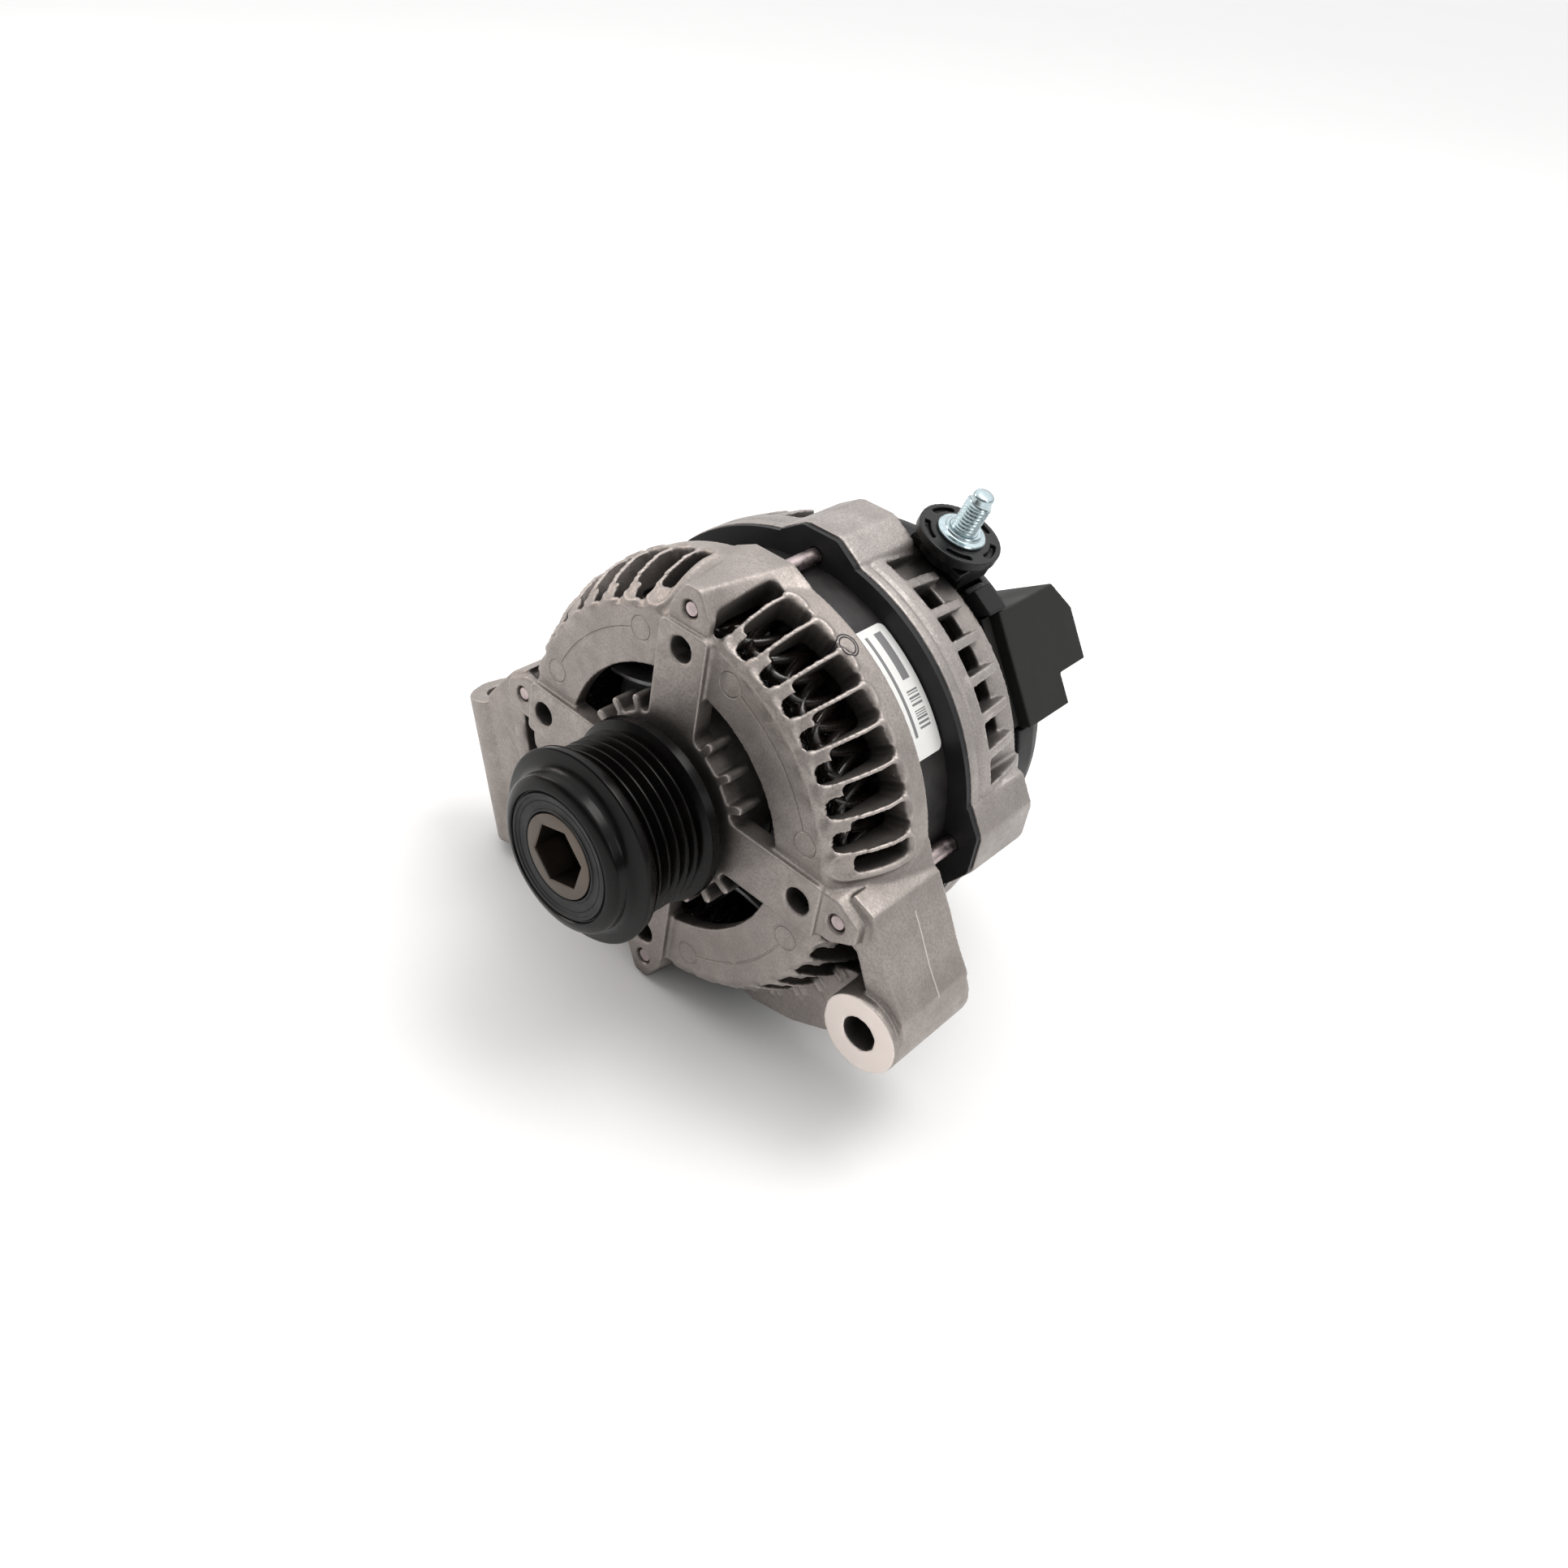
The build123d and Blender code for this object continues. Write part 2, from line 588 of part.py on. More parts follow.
def slip_ring_sleeve():
    gaps = [tube(7.9, 6.8, y0, y1) for y0, y1 in ((87.3, 88.9), (93.5, 96.5), (101.1, 102.5))]
    body = tube(6.8, 5.4 + SEAT, 87.3, 102.5)
    for collar in gaps:
        body += collar
    return body


def spacer_collar():
    return tube(12.0, 8.0 + SEAT, PULLEY_Y1, FRONT_BRG["y0"])


def pulley_hub():
    body = turned([(8.05, PULLEY_Y1), (HUB_RING_R, PULLEY_Y1), (HUB_RING_R, HUB_Y0 + 0.5),
                   (HUB_RING_R - 0.5, HUB_Y0), (8.05, HUB_Y0)])
    socket = along_y(RegularPolygon(HEX_AF / 2, 6, major_radius=False, rotation=12), HUB_Y0 - 1, -32.0)
    return body - socket


def clutch_rollers():
    return group([rod(ROLLER_R, -33.0, -17.0, ROLLER_RADIUS, 360 / ROLLERS * k) for k in range(ROLLERS)])


# ---- pulley ring ----

def groove_profile():
    """Outer outline of the belt track from the front flange to the rear flange."""
    half, foot = GROOVE_PITCH / 2 - 0.35, 0.35
    slope = math.tan(math.radians(20))
    points = [(FRONT_FLANGE_R, FIRST_GROOVE_Y - half - (FRONT_FLANGE_R - CREST_R) * slope)]
    for k in range(GROOVES):
        y = FIRST_GROOVE_Y + GROOVE_PITCH * k
        if k > 0:
            points.append((CREST_R, y - half))
        points += [(GROOVE_BOTTOM_R, y - foot), (GROOVE_BOTTOM_R, y + foot)]
        if k < GROOVES - 1:
            points.append((CREST_R, y + half))
    last = FIRST_GROOVE_Y + GROOVE_PITCH * (GROOVES - 1)
    points.append((REAR_FLANGE_R, last + half + (REAR_FLANGE_R - CREST_R) * slope))
    return points


def pulley_ring():
    nose = [(19.65, PULLEY_Y0), (20.7, PULLEY_Y0), (21.0, -41.9), (23.2, -40.7), (23.7, -40.0),
            (23.7, -38.2), (24.1, -37.2), (24.9, -36.4), (26.2, -35.8), (28.8, -35.4), (29.4, -34.9)]
    rear = [(REAR_FLANGE_R, -7.1), (27.9, PULLEY_Y1), (18.5, PULLEY_Y1), (17.6, -8.5),
            (13.2, -8.5), (13.2, -15.5), (17.2, -15.5), (17.2, -34.5), (13.2, -34.5),
            (13.2, -40.4), (19.65, -40.4)]
    return turned(nose + groove_profile() + rear)


def pulley_seal():
    return turned([(13.25, -41.7), (19.0, -42.2), (19.6, -42.0), (19.6, -40.4), (13.25, -40.4)])


# ---- rectifier ----

def heat_sink(start, y0, y1, radius, angles):
    plate = along_y(sector(SINK_R0, SINK_R1, start, SINK_END), y0, y1)
    holes = [rod(DIODE_R + SEAT, y0 - 1, y1 + 1, radius, a) for a in angles]
    holes += [rod(STUD_R + SEAT, y0 - 1, y1 + 1, STUD_RADIUS, a) for a in STUD_ANGLES]
    return plate - group(holes)


def negative_heat_sink():
    """Plate on the rear housing, notched for the winding leads."""
    plate = heat_sink(NEG_SINK_START, NEG_Y0, NEG_Y1, NEG_DIODE_RADIUS, NEG_DIODE_ANGLES)
    notch = block(49.3, 60, NEG_Y0 - 1, NEG_Y1 + 1, -1.9, 1.9)
    return plate - group([turn(notch, a) for a in LEAD_ANGLES])


def positive_heat_sink():
    """Plate on the spacers, notched for the bus bar."""
    plate = heat_sink(POS_SINK_START, POS_Y0, POS_Y1, POS_DIODE_RADIUS, POS_DIODE_ANGLES)
    return plate - turn(block(53.6, 60, POS_Y0 - 1, POS_Y1 + 1, -9.0, 6.2), TERMINAL_ANGLE)


def diodes(y0, y1, radius, angles):
    lead = -5.0 if y0 > NEG_Y1 else 5.0
    tip = y0 + lead if lead < 0 else y1 + lead
    bodies = []
    for angle in angles:
        low, high = sorted((tip, y0 if lead < 0 else y1))
        bodies.append(rod(DIODE_R, y0, y1, radius, angle) + rod(0.8, low, high, radius, angle))
    return group(bodies)


def sink_spacers():
    return group([rod(4.8, NEG_Y1, POS_Y0, STUD_RADIUS, a) - rod(STUD_R + SEAT, 80, 105, STUD_RADIUS, a)
                  for a in STUD_ANGLES])


def terminal_block():
    """Plastic rail that carries the leads round the rectifier."""
    body = along_y(sector(53.4, 56.3, NEG_SINK_START + 2, SINK_END - 2), 90.4, 96.0)
    for angle in STUD_ANGLES:
        body -= rod(4.8 + 0.1, 88, 98, STUD_RADIUS, angle)
    return body


def stator_leads():
    """Flat leads from the winding, through the rear inlets, to the terminal rail."""
    upright = block(50.3, 51.6, COIL_REAR_Y + 0.05, 94.0, -1.1, 1.1)
    foot = block(51.6, 53.35, 92.8, 94.0, -1.1, 1.1)
    return group([turn(upright + foot, a) for a in LEAD_ANGLES])


def bus_bar():
    """Strip from the positive heat sink to the head of the B+ stud."""
    foot = block(44.0, 54.4, POS_Y1, POS_Y1 + 1.6, -5.5, 5.5)
    upright = block(54.4, TERMINAL_BASE_R, 87.2, POS_Y1 + 1.6, -5.5, 5.5)
    return turn(foot + upright, TERMINAL_ANGLE)


def cover_studs():
    return group([rod(STUD_R, 80.5, 117.0, STUD_RADIUS, a) for a in STUD_ANGLES])


def cover_nuts():
    nuts = []
    for angle in STUD_ANGLES:
        x, z = polar(STUD_RADIUS, angle)
        nut = along_y(Pos(x, z) * RegularPolygon(4.0, 6, major_radius=False), 113.2, 116.5)
        nut += rod(5.2, 112.2, 113.2, STUD_RADIUS, angle)
        nuts.append(nut - rod(STUD_R + SEAT, 110, 120, STUD_RADIUS, angle))
    return group(nuts)


# ---- brush gear, regulator and connector ----

def brush(index):
    y = SLIP_Y[index]
    body = block(SLIP_R - 2, BRUSH_R1, y - BRUSH_T / 2, y + BRUSH_T / 2, -BRUSH_W / 2, BRUSH_W / 2)
    return turn(body - rod(BRUSH_R0, y - 5, y + 5), PLUG_ANGLE)


def brush_spring(index):
    y = SLIP_Y[index]
    end_gap = SPRING_WIRE_R + SEAT
    height = HOLDER_R1 - BRUSH_R1 - 2 * end_gap
    path = Helix(pitch=height / 7, height=height, radius=1.45)
    wire = Plane(origin=path @ 0, z_dir=path % 0) * Circle(SPRING_WIRE_R)
    coil = sweep(wire, path=path)
    return turn(Pos(BRUSH_R1 + end_gap, y, 0) * Rot(0, 90, 0) * coil, PLUG_ANGLE)


def brush_holder():
    body = block(HOLDER_R0, HOLDER_R1, 87.4, 102.6, -6.5, 6.5)
    gap = 0.3
    for y in SLIP_Y:
        body -= block(HOLDER_R0 - 1, HOLDER_R1 + 1, y - BRUSH_T / 2 - gap, y + BRUSH_T / 2 + gap,
                      -BRUSH_W / 2 - gap, BRUSH_W / 2 + gap)
    return turn(body, PLUG_ANGLE)


def brush_cap():
    return turn(block(HOLDER_R1, HOLDER_R1 + 1.6, 87.4, 102.6, -6.5, 6.5), PLUG_ANGLE)


def voltage_regulator():
    """Potted regulator plate with cooling fins on its rear-housing side."""
    body = block(36.6, 57.0, 90.0, PLUG_Y0, -15.0, 20.0)
    for k in range(6):
        z = -13.5 + 6.2 * k
        body += block(37.6, 56.0, 87.2, 90.0, z, z + 1.6)
    return turn(body, PLUG_ANGLE)


def plug_sketch(inset, y0, y1):
    """Socket section in the (y, tangent) plane, with its cut corner."""
    high, low, end = PLUG_HIGH - inset, PLUG_STEP + inset, y1
    return polygon([(y0, low), (end, low), (end, 11.0 - inset), (123.5 - inset * 0.3, high), (y0, high)])


def radial_extrude(sketch, r0, r1):
    """Extrude a (y, tangent) sketch outwards from r0 to r1 on the +X side."""
    plane = Plane(origin=(r0, 0, 0), x_dir=(0, 1, 0), z_dir=(1, 0, 0))
    return extrude(plane * sketch, amount=r1 - r0)


def connector_housing():
    upper = radial_extrude(plug_sketch(0, PLUG_Y0, PLUG_Y1), PLUG_R0, PLUG_R1)
    lower = block(PLUG_R0, PLUG_R1, PLUG_Y0, PLUG_STEP_Y, PLUG_LOW, PLUG_STEP + 1)
    cavity = block(PLUG_R0 + PLUG_WALL, PLUG_R1 - PLUG_WALL, SOCKET_Y, PLUG_Y1 + 1,
                   PLUG_STEP + PLUG_WALL, 10.0)
    return turn(upper + lower - cavity, PLUG_ANGLE)


def connector_terminals():
    pins = []
    for r in (46.2, 52.8):
        for z in (0.0, 6.8):
            pins.append(turn(block(r - 0.4, r + 0.4, SOCKET_Y, 122.5, z - 1.1, z + 1.1), PLUG_ANGLE))
    return group(pins)


# ---- B+ terminal ----

def radial_rod(r, r0, r1):
    """Rod pointing outwards through the B+ terminal's place, before it is turned to its angle."""
    return Pos((r0 + r1) / 2, TERMINAL_Y, 0) * Rot(0, 90, 0) * Cylinder(r, r1 - r0)


def b_plus_stud():
    body = radial_rod(TERMINAL_STUD_R, TERMINAL_BASE_R, TERMINAL_TIP_R)
    body = chamfer(body.edges().filter_by(GeomType.CIRCLE).sort_by(Axis.X)[-1:], 1.4)
    body += radial_rod(TERMINAL_SHANK_R, TERMINAL_BASE_R, TERMINAL_WASHER_R)
    body += radial_rod(5.8, TERMINAL_BASE_R, TERMINAL_BASE_R + 2.4)
    return turn(body, TERMINAL_ANGLE)


def b_plus_collar():
    body = radial_rod(7.6, TERMINAL_FACE_R, TERMINAL_FACE_R + 1.2)
    body += radial_rod(5.6, TERMINAL_FACE_R + 1.2, TERMINAL_WASHER_R)
    return turn(body - radial_rod(TERMINAL_SHANK_R + SEAT, 50, 90), TERMINAL_ANGLE)


def b_plus_insulator():
    face = TERMINAL_FACE_R
    body = radial_rod(TERMINAL_FLANGE_R, face - 3.2, face) + radial_rod(10.2, 65.4, face - 3.2)
    body += block(65.4, 68.0, 83.5, 102.5, -10.0, 10.0) + block(60.6, 65.6, 87.0, 102.5, -10.0, 10.0)
    for k in range(5):
        arc = sector(9.6, 11.4, 72 * k - 22, 72 * k + 22)
        plane = Plane(origin=(face - 1.6, TERMINAL_Y, 0), x_dir=(0, 1, 0), z_dir=(1, 0, 0))
        body -= extrude(plane * arc, amount=3)
    body -= radial_rod(TERMINAL_SHANK_R + SEAT, 50, 90)
    return turn(body, TERMINAL_ANGLE)


# ---- rear cover ----

def cover_shell():
    outer = [(COVER_SKIRT_R, COVER_Y0), (COVER_SKIRT_R, 92.0), (COVER_R, 92.0), (COVER_R, 100.0),
             (58.6, 105.0), (56.4, 109.2), (52.5, 111.4), (49.0, COVER_Y1), (0, COVER_Y1)]
    inner = [(0, COVER_Y1 - COVER_WALL), (48.5, COVER_Y1 - COVER_WALL), (51.5, 109.3),
             (54.7, 107.6), (56.6, 104.2), (56.8, 100.0), (56.8, COVER_Y0)]
    return turned(outer + inner)


def rear_cover():
    body = cover_shell()
    dome = turned([(0, 108), (20, 108), (20, 112.8), (17.5, 114.0), (0, 114.0)])
    dome -= turned([(0, 100), (17.6, 100), (17.6, 111.4), (0, 111.4)])
    body += dome
    for angle in STUD_ANGLES:
        body += rod(6.8, 109.0, 112.2, STUD_RADIUS, angle)
    body += turn(block(57.5, CLIP_R, 88.5, 97.0, -5.0, 5.0), CLIP_ANGLE)
    cutters = [rod(17.6, 105, 111.4)]
    for k in range(36):
        angle = 10 * k
        if abs(angle - PLUG_ANGLE) > 38 and all(abs(angle - a) > 9 for a in STUD_ANGLES):
            cutters.append(turn(block(24.5, 45.5, 105, 120, -1.4, 1.4), angle))
    cutters += [rod(STUD_R + 0.3, 105, 120, STUD_RADIUS, a) for a in STUD_ANGLES]
    cutters += [rod(5.0, 100, 110.2, STUD_RADIUS, a) for a in STUD_ANGLES]
    plug_room = block(PLUG_R0 - 1.6, 70, 80, 120, PLUG_LOW - 0.3, PLUG_HIGH + 0.3)
    terminal_room = block(50, 75, 80, 103.0, -10.5, 10.5)
    cutters += [turn(plug_room, PLUG_ANGLE), turn(terminal_room, TERMINAL_ANGLE)]
    return body - group(cutters)


# ---- write every node ----

NODES = {
    "front_housing": front_housing,
    "rear_housing": rear_housing,
    "stator_core": stator_core,
    "stator_winding": stator_winding,
    "stator_seal_ring": stator_seal_ring,
    "through_bolts": through_bolts,
    "label": label,
    "front_bearing_outer_race": lambda: outer_race(FRONT_BRG),
    "front_bearing_inner_race": lambda: inner_race(FRONT_BRG),
    "front_bearing_balls": lambda: bearing_balls(FRONT_BRG),
    "front_bearing_cage": lambda: bearing_cage(FRONT_BRG),
    "front_bearing_retainer": front_bearing_retainer,
    "retainer_screws": retainer_screws,
    "rear_bearing_outer_race": lambda: outer_race(REAR_BRG),
    "rear_bearing_inner_race": lambda: inner_race(REAR_BRG),
    "rear_bearing_balls": lambda: bearing_balls(REAR_BRG),
    "rear_bearing_cage": lambda: bearing_cage(REAR_BRG),
    "rear_bearing_sleeve": rear_bearing_sleeve,
    "shaft": shaft,
    "front_pole": pole_half,
    "rear_pole": rear_pole,
    "coil_bobbin": coil_bobbin,
    "field_coil": field_coil,
    "front_fan": lambda: fan(POLE_Y0, 13.0, 11, 24),
    "rear_fan": lambda: fan(POLE_Y1, 71.5, 11, -24),
    "slip_ring_front": lambda: slip_ring(0),
    "slip_ring_rear": lambda: slip_ring(1),
    "slip_ring_sleeve": slip_ring_sleeve,
    "spacer_collar": spacer_collar,
    "pulley_hub": pulley_hub,
    "clutch_rollers": clutch_rollers,
    "pulley_ring": pulley_ring,
    "pulley_seal": pulley_seal,
    "negative_heat_sink": negative_heat_sink,
    "positive_heat_sink": positive_heat_sink,
    "negative_diodes": lambda: diodes(86.9, 91.0, NEG_DIODE_RADIUS, NEG_DIODE_ANGLES),
    "positive_diodes": lambda: diodes(96.0, 100.6, POS_DIODE_RADIUS, POS_DIODE_ANGLES),
    "sink_spacers": sink_spacers,
    "terminal_block": terminal_block,
    "stator_leads": stator_leads,
    "bus_bar": bus_bar,
    "cover_studs": cover_studs,
    "cover_nuts": cover_nuts,
    "brush_front": lambda: brush(0),
    "brush_rear": lambda: brush(1),
    "brush_spring_front": lambda: brush_spring(0),
    "brush_spring_rear": lambda: brush_spring(1),
    "brush_holder": brush_holder,
    "brush_cap": brush_cap,
    "voltage_regulator": voltage_regulator,
    "connector_housing": connector_housing,
    "connector_terminals": connector_terminals,
    "b_plus_stud": b_plus_stud,
    "b_plus_collar": b_plus_collar,
    "b_plus_insulator": b_plus_insulator,
    "rear_cover": rear_cover,
}

os.makedirs("parts", exist_ok=True)
for name, make in NODES.items():
    export_step(make(), f"parts/{name}.step")
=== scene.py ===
import math

import bmesh
import bpy
import numpy as np
from mathutils import Matrix, Vector
from mathutils.bvhtree import BVHTree


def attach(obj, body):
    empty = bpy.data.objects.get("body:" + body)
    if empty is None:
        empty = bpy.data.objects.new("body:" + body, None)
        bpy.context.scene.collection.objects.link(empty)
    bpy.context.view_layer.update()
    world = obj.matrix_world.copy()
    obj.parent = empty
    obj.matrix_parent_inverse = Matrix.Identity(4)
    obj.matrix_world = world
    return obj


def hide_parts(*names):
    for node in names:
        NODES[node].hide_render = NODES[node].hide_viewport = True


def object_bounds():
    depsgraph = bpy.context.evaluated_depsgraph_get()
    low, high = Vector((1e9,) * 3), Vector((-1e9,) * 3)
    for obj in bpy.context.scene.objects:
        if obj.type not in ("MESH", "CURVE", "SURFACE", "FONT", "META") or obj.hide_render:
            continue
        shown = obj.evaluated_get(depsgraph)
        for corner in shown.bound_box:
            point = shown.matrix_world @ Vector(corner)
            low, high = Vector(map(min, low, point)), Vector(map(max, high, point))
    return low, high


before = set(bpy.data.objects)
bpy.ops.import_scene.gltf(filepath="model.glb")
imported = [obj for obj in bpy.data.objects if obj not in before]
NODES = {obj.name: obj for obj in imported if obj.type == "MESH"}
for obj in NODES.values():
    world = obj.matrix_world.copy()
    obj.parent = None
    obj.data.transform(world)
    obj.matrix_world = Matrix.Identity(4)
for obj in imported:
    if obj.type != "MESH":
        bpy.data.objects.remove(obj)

# Car alternator. The row frame: shaft axis along Y, pulley end towards -Y, +Z up. Sizes in meshes
# are in millimetres and are turned into metres where a mesh is made; sizes in materials are in
# metres.
MM = 0.001
cad_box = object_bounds()

# The supply terminal: its angle from +X towards +Z, and its place along the shaft.
TERMINAL_ANGLE = 72.5
TERMINAL_Y = 92.0
# The label film: its first and last angle, and where it starts and ends along the shaft.
LABEL_ANGLES = (27.7, 64.7)
LABEL_Y = (36.0, 51.4)


# ---------------------------------------------------------------- node helpers

class Graph:
    """Short names for building one material's nodes."""

    def __init__(self, name):
        self.mat = bpy.data.materials.new(name)
        self.mat.use_nodes = True
        self.nodes = self.mat.node_tree.nodes
        self.links = self.mat.node_tree.links
        self.shader = self.nodes["Principled BSDF"]

    def plug(self, value, socket):
        if isinstance(value, bpy.types.NodeSocket):
            self.links.new(value, socket)
        elif value is not None:
            socket.default_value = value

    def node(self, kind, inputs=None, **settings):
        n = self.nodes.new(kind)
        for key, value in settings.items():
            setattr(n, key, value)
        for key, value in (inputs or {}).items():
            self.plug(value, n.inputs[key])
        return n

    def math(self, op, a, b=None):
        n = self.node("ShaderNodeMath", operation=op)
        for i, value in enumerate((a, b)):
            self.plug(value, n.inputs[i])
        return n.outputs[0]

    def product(self, a, b):
        return self.math("MULTIPLY", a, b)

    def inverse(self, value):
        """1 where the value is 0, and 0 where it is 1."""
        return self.math("SUBTRACT", 1.0, value)

    def distance(self, value, centre):
        return self.math("ABSOLUTE", self.math("SUBTRACT", value, centre))

    def length(self, u, v):
        squares = self.math("ADD", self.product(u, u), self.product(v, v))
        return self.math("SQRT", squares)

    def coords(self):
        return self.node("ShaderNodeTexCoord").outputs["Object"]

    def split(self, vector):
        n = self.node("ShaderNodeSeparateXYZ", {"Vector": vector})
        return n.outputs["X"], n.outputs["Y"], n.outputs["Z"]

    def join(self, x, y, z):
        n = self.node("ShaderNodeCombineXYZ")
        for i, value in enumerate((x, y, z)):
            self.plug(value, n.inputs[i])
        return n.outputs[0]

    def noise(self, scale, detail=2.0, rough=0.5, vector=None):
        n = self.node("ShaderNodeTexNoise", {"Vector": vector or self.coords(), "Scale": scale,
                                             "Detail": detail, "Roughness": rough})
        return n.outputs["Fac"]

    def cells(self, scale):
        n = self.node("ShaderNodeTexVoronoi", {"Vector": self.coords(), "Scale": scale})
        return n.outputs["Distance"]

    def remap(self, value, low, high, to_low=0.0, to_high=1.0):
        """A smooth step from to_low to to_high as the value goes from low to high."""
        n = self.node("ShaderNodeMapRange", {"Value": value, "From Min": low, "From Max": high,
                                             "To Min": to_low, "To Max": to_high},
                      interpolation_type="SMOOTHSTEP")
        return n.outputs["Result"]

    def mix(self, fac, a, b):
        n = self.node("ShaderNodeMix", data_type="RGBA")
        self.plug(fac, n.inputs["Factor"])
        for value, socket in ((a, n.inputs[6]), (b, n.inputs[7])):
            if not isinstance(value, bpy.types.NodeSocket):
                value = (*value[:3], 1.0)
            self.plug(value, socket)
        return n.outputs[2]

    def polar(self):
        """Radius from the shaft axis, place along the axis and angle from +X towards +Z."""
        x, y, z = self.split(self.coords())
        return self.length(x, z), y, self.math("ARCTAN2", z, x)

    def bump(self, height, distance, strength, normal=None):
        n = self.node("ShaderNodeBump", {"Height": height, "Distance": distance,
                                         "Strength": strength})
        if normal is not None:
            self.links.new(normal, n.inputs["Normal"])
        return n.outputs["Normal"]

    def finish(self, color=None, rough=None, metal=None, normal=None, **sockets):
        for name, value in (("Base Color", color), ("Roughness", rough), ("Metallic", metal),
                            ("Normal", normal)):
            if isinstance(value, tuple):
                value = (*value[:3], 1.0)
            self.plug(value, self.shader.inputs[name])
        for name, value in sockets.items():
            self.shader.inputs[name.replace("_", " ")].default_value = value
        return self.mat


def scaled(tint, factor):
    return tuple(c * factor for c in tint)


def convex_edges(g, low, high):
    """1 on convex edges of a finely divided mesh, 0 elsewhere."""
    return g.remap(g.node("ShaderNodeNewGeometry").outputs["Pointiness"], low, high)


def painted_corner_shade(g, distance):
    """Mask for painted shade: 1 in the open and 0 deep in corners."""
    return g.node("ShaderNodeAmbientOcclusion", {"Distance": distance}, samples=8).outputs["AO"]


# ---------------------------------------------------------------- materials

STAIN_FACTORS = (0.82, 0.78, 0.72)
LUG_CENTRE = (0.0791, -0.0302)
LUG_FACE_R = 0.0118
PIN_MARK_CENTRE_R = 0.0527
PIN_MARK_R = 0.0037
PIN_MARK_ANGLE = math.radians(26)


def cast_aluminium(name, tint, face_marks_and_shade=False):
    """Bead-blasted die casting: fine grain, faint mottling, painted shade in corners and recesses,
    and brighter convex edges. For the front housing it also has the marks of the housing's faces
    and painted shade behind its four front windows."""
    g = Graph(name)
    grain = g.noise(1500, 3.0, 0.65)
    pits = g.cells(900)
    mottle = g.noise(70, 5.0, 0.65)
    stain = g.noise(14, 3.0, 0.55)
    stained = tuple(c * f for c, f in zip(tint, STAIN_FACTORS))
    base = g.mix(g.remap(mottle, 0.3, 0.72), scaled(tint, 0.74), tint)
    base = g.mix(g.remap(grain, 0.38, 0.64, 0.0, 0.5), base, scaled(tint, 0.5))
    base = g.mix(g.remap(stain, 0.42, 0.75, 0.0, 0.35), base, stained)
    # Lighter on convex edges.
    base = g.mix(g.product(convex_edges(g, 0.51, 0.57), 0.75), base, scaled(tint, 1.16))
    # Painted shade: darker in corners and recesses.
    shade = g.remap(painted_corner_shade(g, 0.013), 0.3, 0.92)
    # Painted shade on the walls and floor behind the front windows.
    if face_marks_and_shade:
        shade = g.product(shade, painted_window_shade(g))
    base = g.mix(shade, scaled(tint, 0.16), base)
    rough = g.remap(g.noise(240, 3.0, 0.6), 0.3, 0.7, 0.4, 0.54)
    height = g.math("ADD", grain, g.product(pits, 0.4))
    if face_marks_and_shade:
        faced = lug_face(g)
        base = g.mix(faced, base, scaled(tint, 1.9))
        rough = g.math("SUBTRACT", rough, g.product(faced, 0.08))
        height = g.product(height, g.inverse(g.product(faced, 0.8)))
    normal = g.bump(height, 0.00012, 0.6)
    if face_marks_and_shade:
        normal = g.bump(ring_face_marks(g), 0.00035, 1.0, normal)
    return g.finish(base, rough, 0.72, normal)


def painted_window_shade(g):
    """Painted shade: 1 outside, and low on the walls and floor behind the four front windows, where
    shade falls.
    """
    radius, y, _ = g.polar()
    inside = g.remap(radius, 0.045, 0.048, 1.0, 0.0)
    return g.inverse(g.product(inside, g.remap(y, 0.0015, 0.0055, 0.0, 0.85)))


def lug_face(g):
    """1 on the milled front face of the pivot lug, 0 elsewhere."""
    x, y, z = g.split(g.coords())
    u, v = g.math("SUBTRACT", x, LUG_CENTRE[0]), g.math("SUBTRACT", z, LUG_CENTRE[1])
    in_circle = g.math("LESS_THAN", g.length(u, v), LUG_FACE_R)
    return g.product(g.math("LESS_THAN", y, 0.0003), in_circle)


def ring_face_marks(g):
    """Height of the front ring face: sunk ejector-pin rings, with parting arcs between them."""
    radius, y, angle = g.polar()
    quarter = math.pi / 2
    folded = g.distance(g.math("FLOORED_MODULO", angle, quarter), quarter / 2)
    off = g.math("SUBTRACT", folded, PIN_MARK_ANGLE)
    u = g.math("SUBTRACT", g.product(radius, g.math("COSINE", off)), PIN_MARK_CENTRE_R)
    v = g.product(radius, g.math("SINE", off))
    ring = g.remap(g.distance(g.length(u, v), PIN_MARK_R), 0.00012, 0.0004, 1.0, 0.0)
    arc = g.remap(g.distance(radius, PIN_MARK_CENTRE_R), 0.0001, 0.00042, 1.0, 0.0)
    between = g.math("LESS_THAN", folded, PIN_MARK_ANGLE - 0.0041 / PIN_MARK_CENTRE_R)
    marks = g.math("MAXIMUM", ring, g.product(arc, between))
    on_face = g.product(g.math("LESS_THAN", y, 0.0012), g.math("GREATER_THAN", y, -0.0012))
    return g.inverse(g.product(marks, on_face))


def turned_steel(name, tint, rough, pitch=0.0004):
    """Ground or turned steel: fine rings about the shaft, slight smears and painted shade in
    corners.
    """
    g = Graph(name)
    radius, along, _ = g.polar()
    line = g.math("ADD", radius, along)
    rings = g.noise(1.0 / pitch, 2.0, 0.6, g.join(line, 0.0, 0.0))
    smear = g.noise(60, 3.0, 0.6)
    base = g.mix(g.remap(smear, 0.3, 0.7), scaled(tint, 0.78), tint)
    # Painted shade: darker in corners.
    base = g.mix(g.remap(painted_corner_shade(g, 0.008), 0.2, 0.9), scaled(tint, 0.2), base)
    level = g.remap(rings, 0.2, 0.8, rough - 0.06, rough + 0.1)
    return g.finish(base, level, 1.0, g.bump(rings, 0.000006, 0.8))


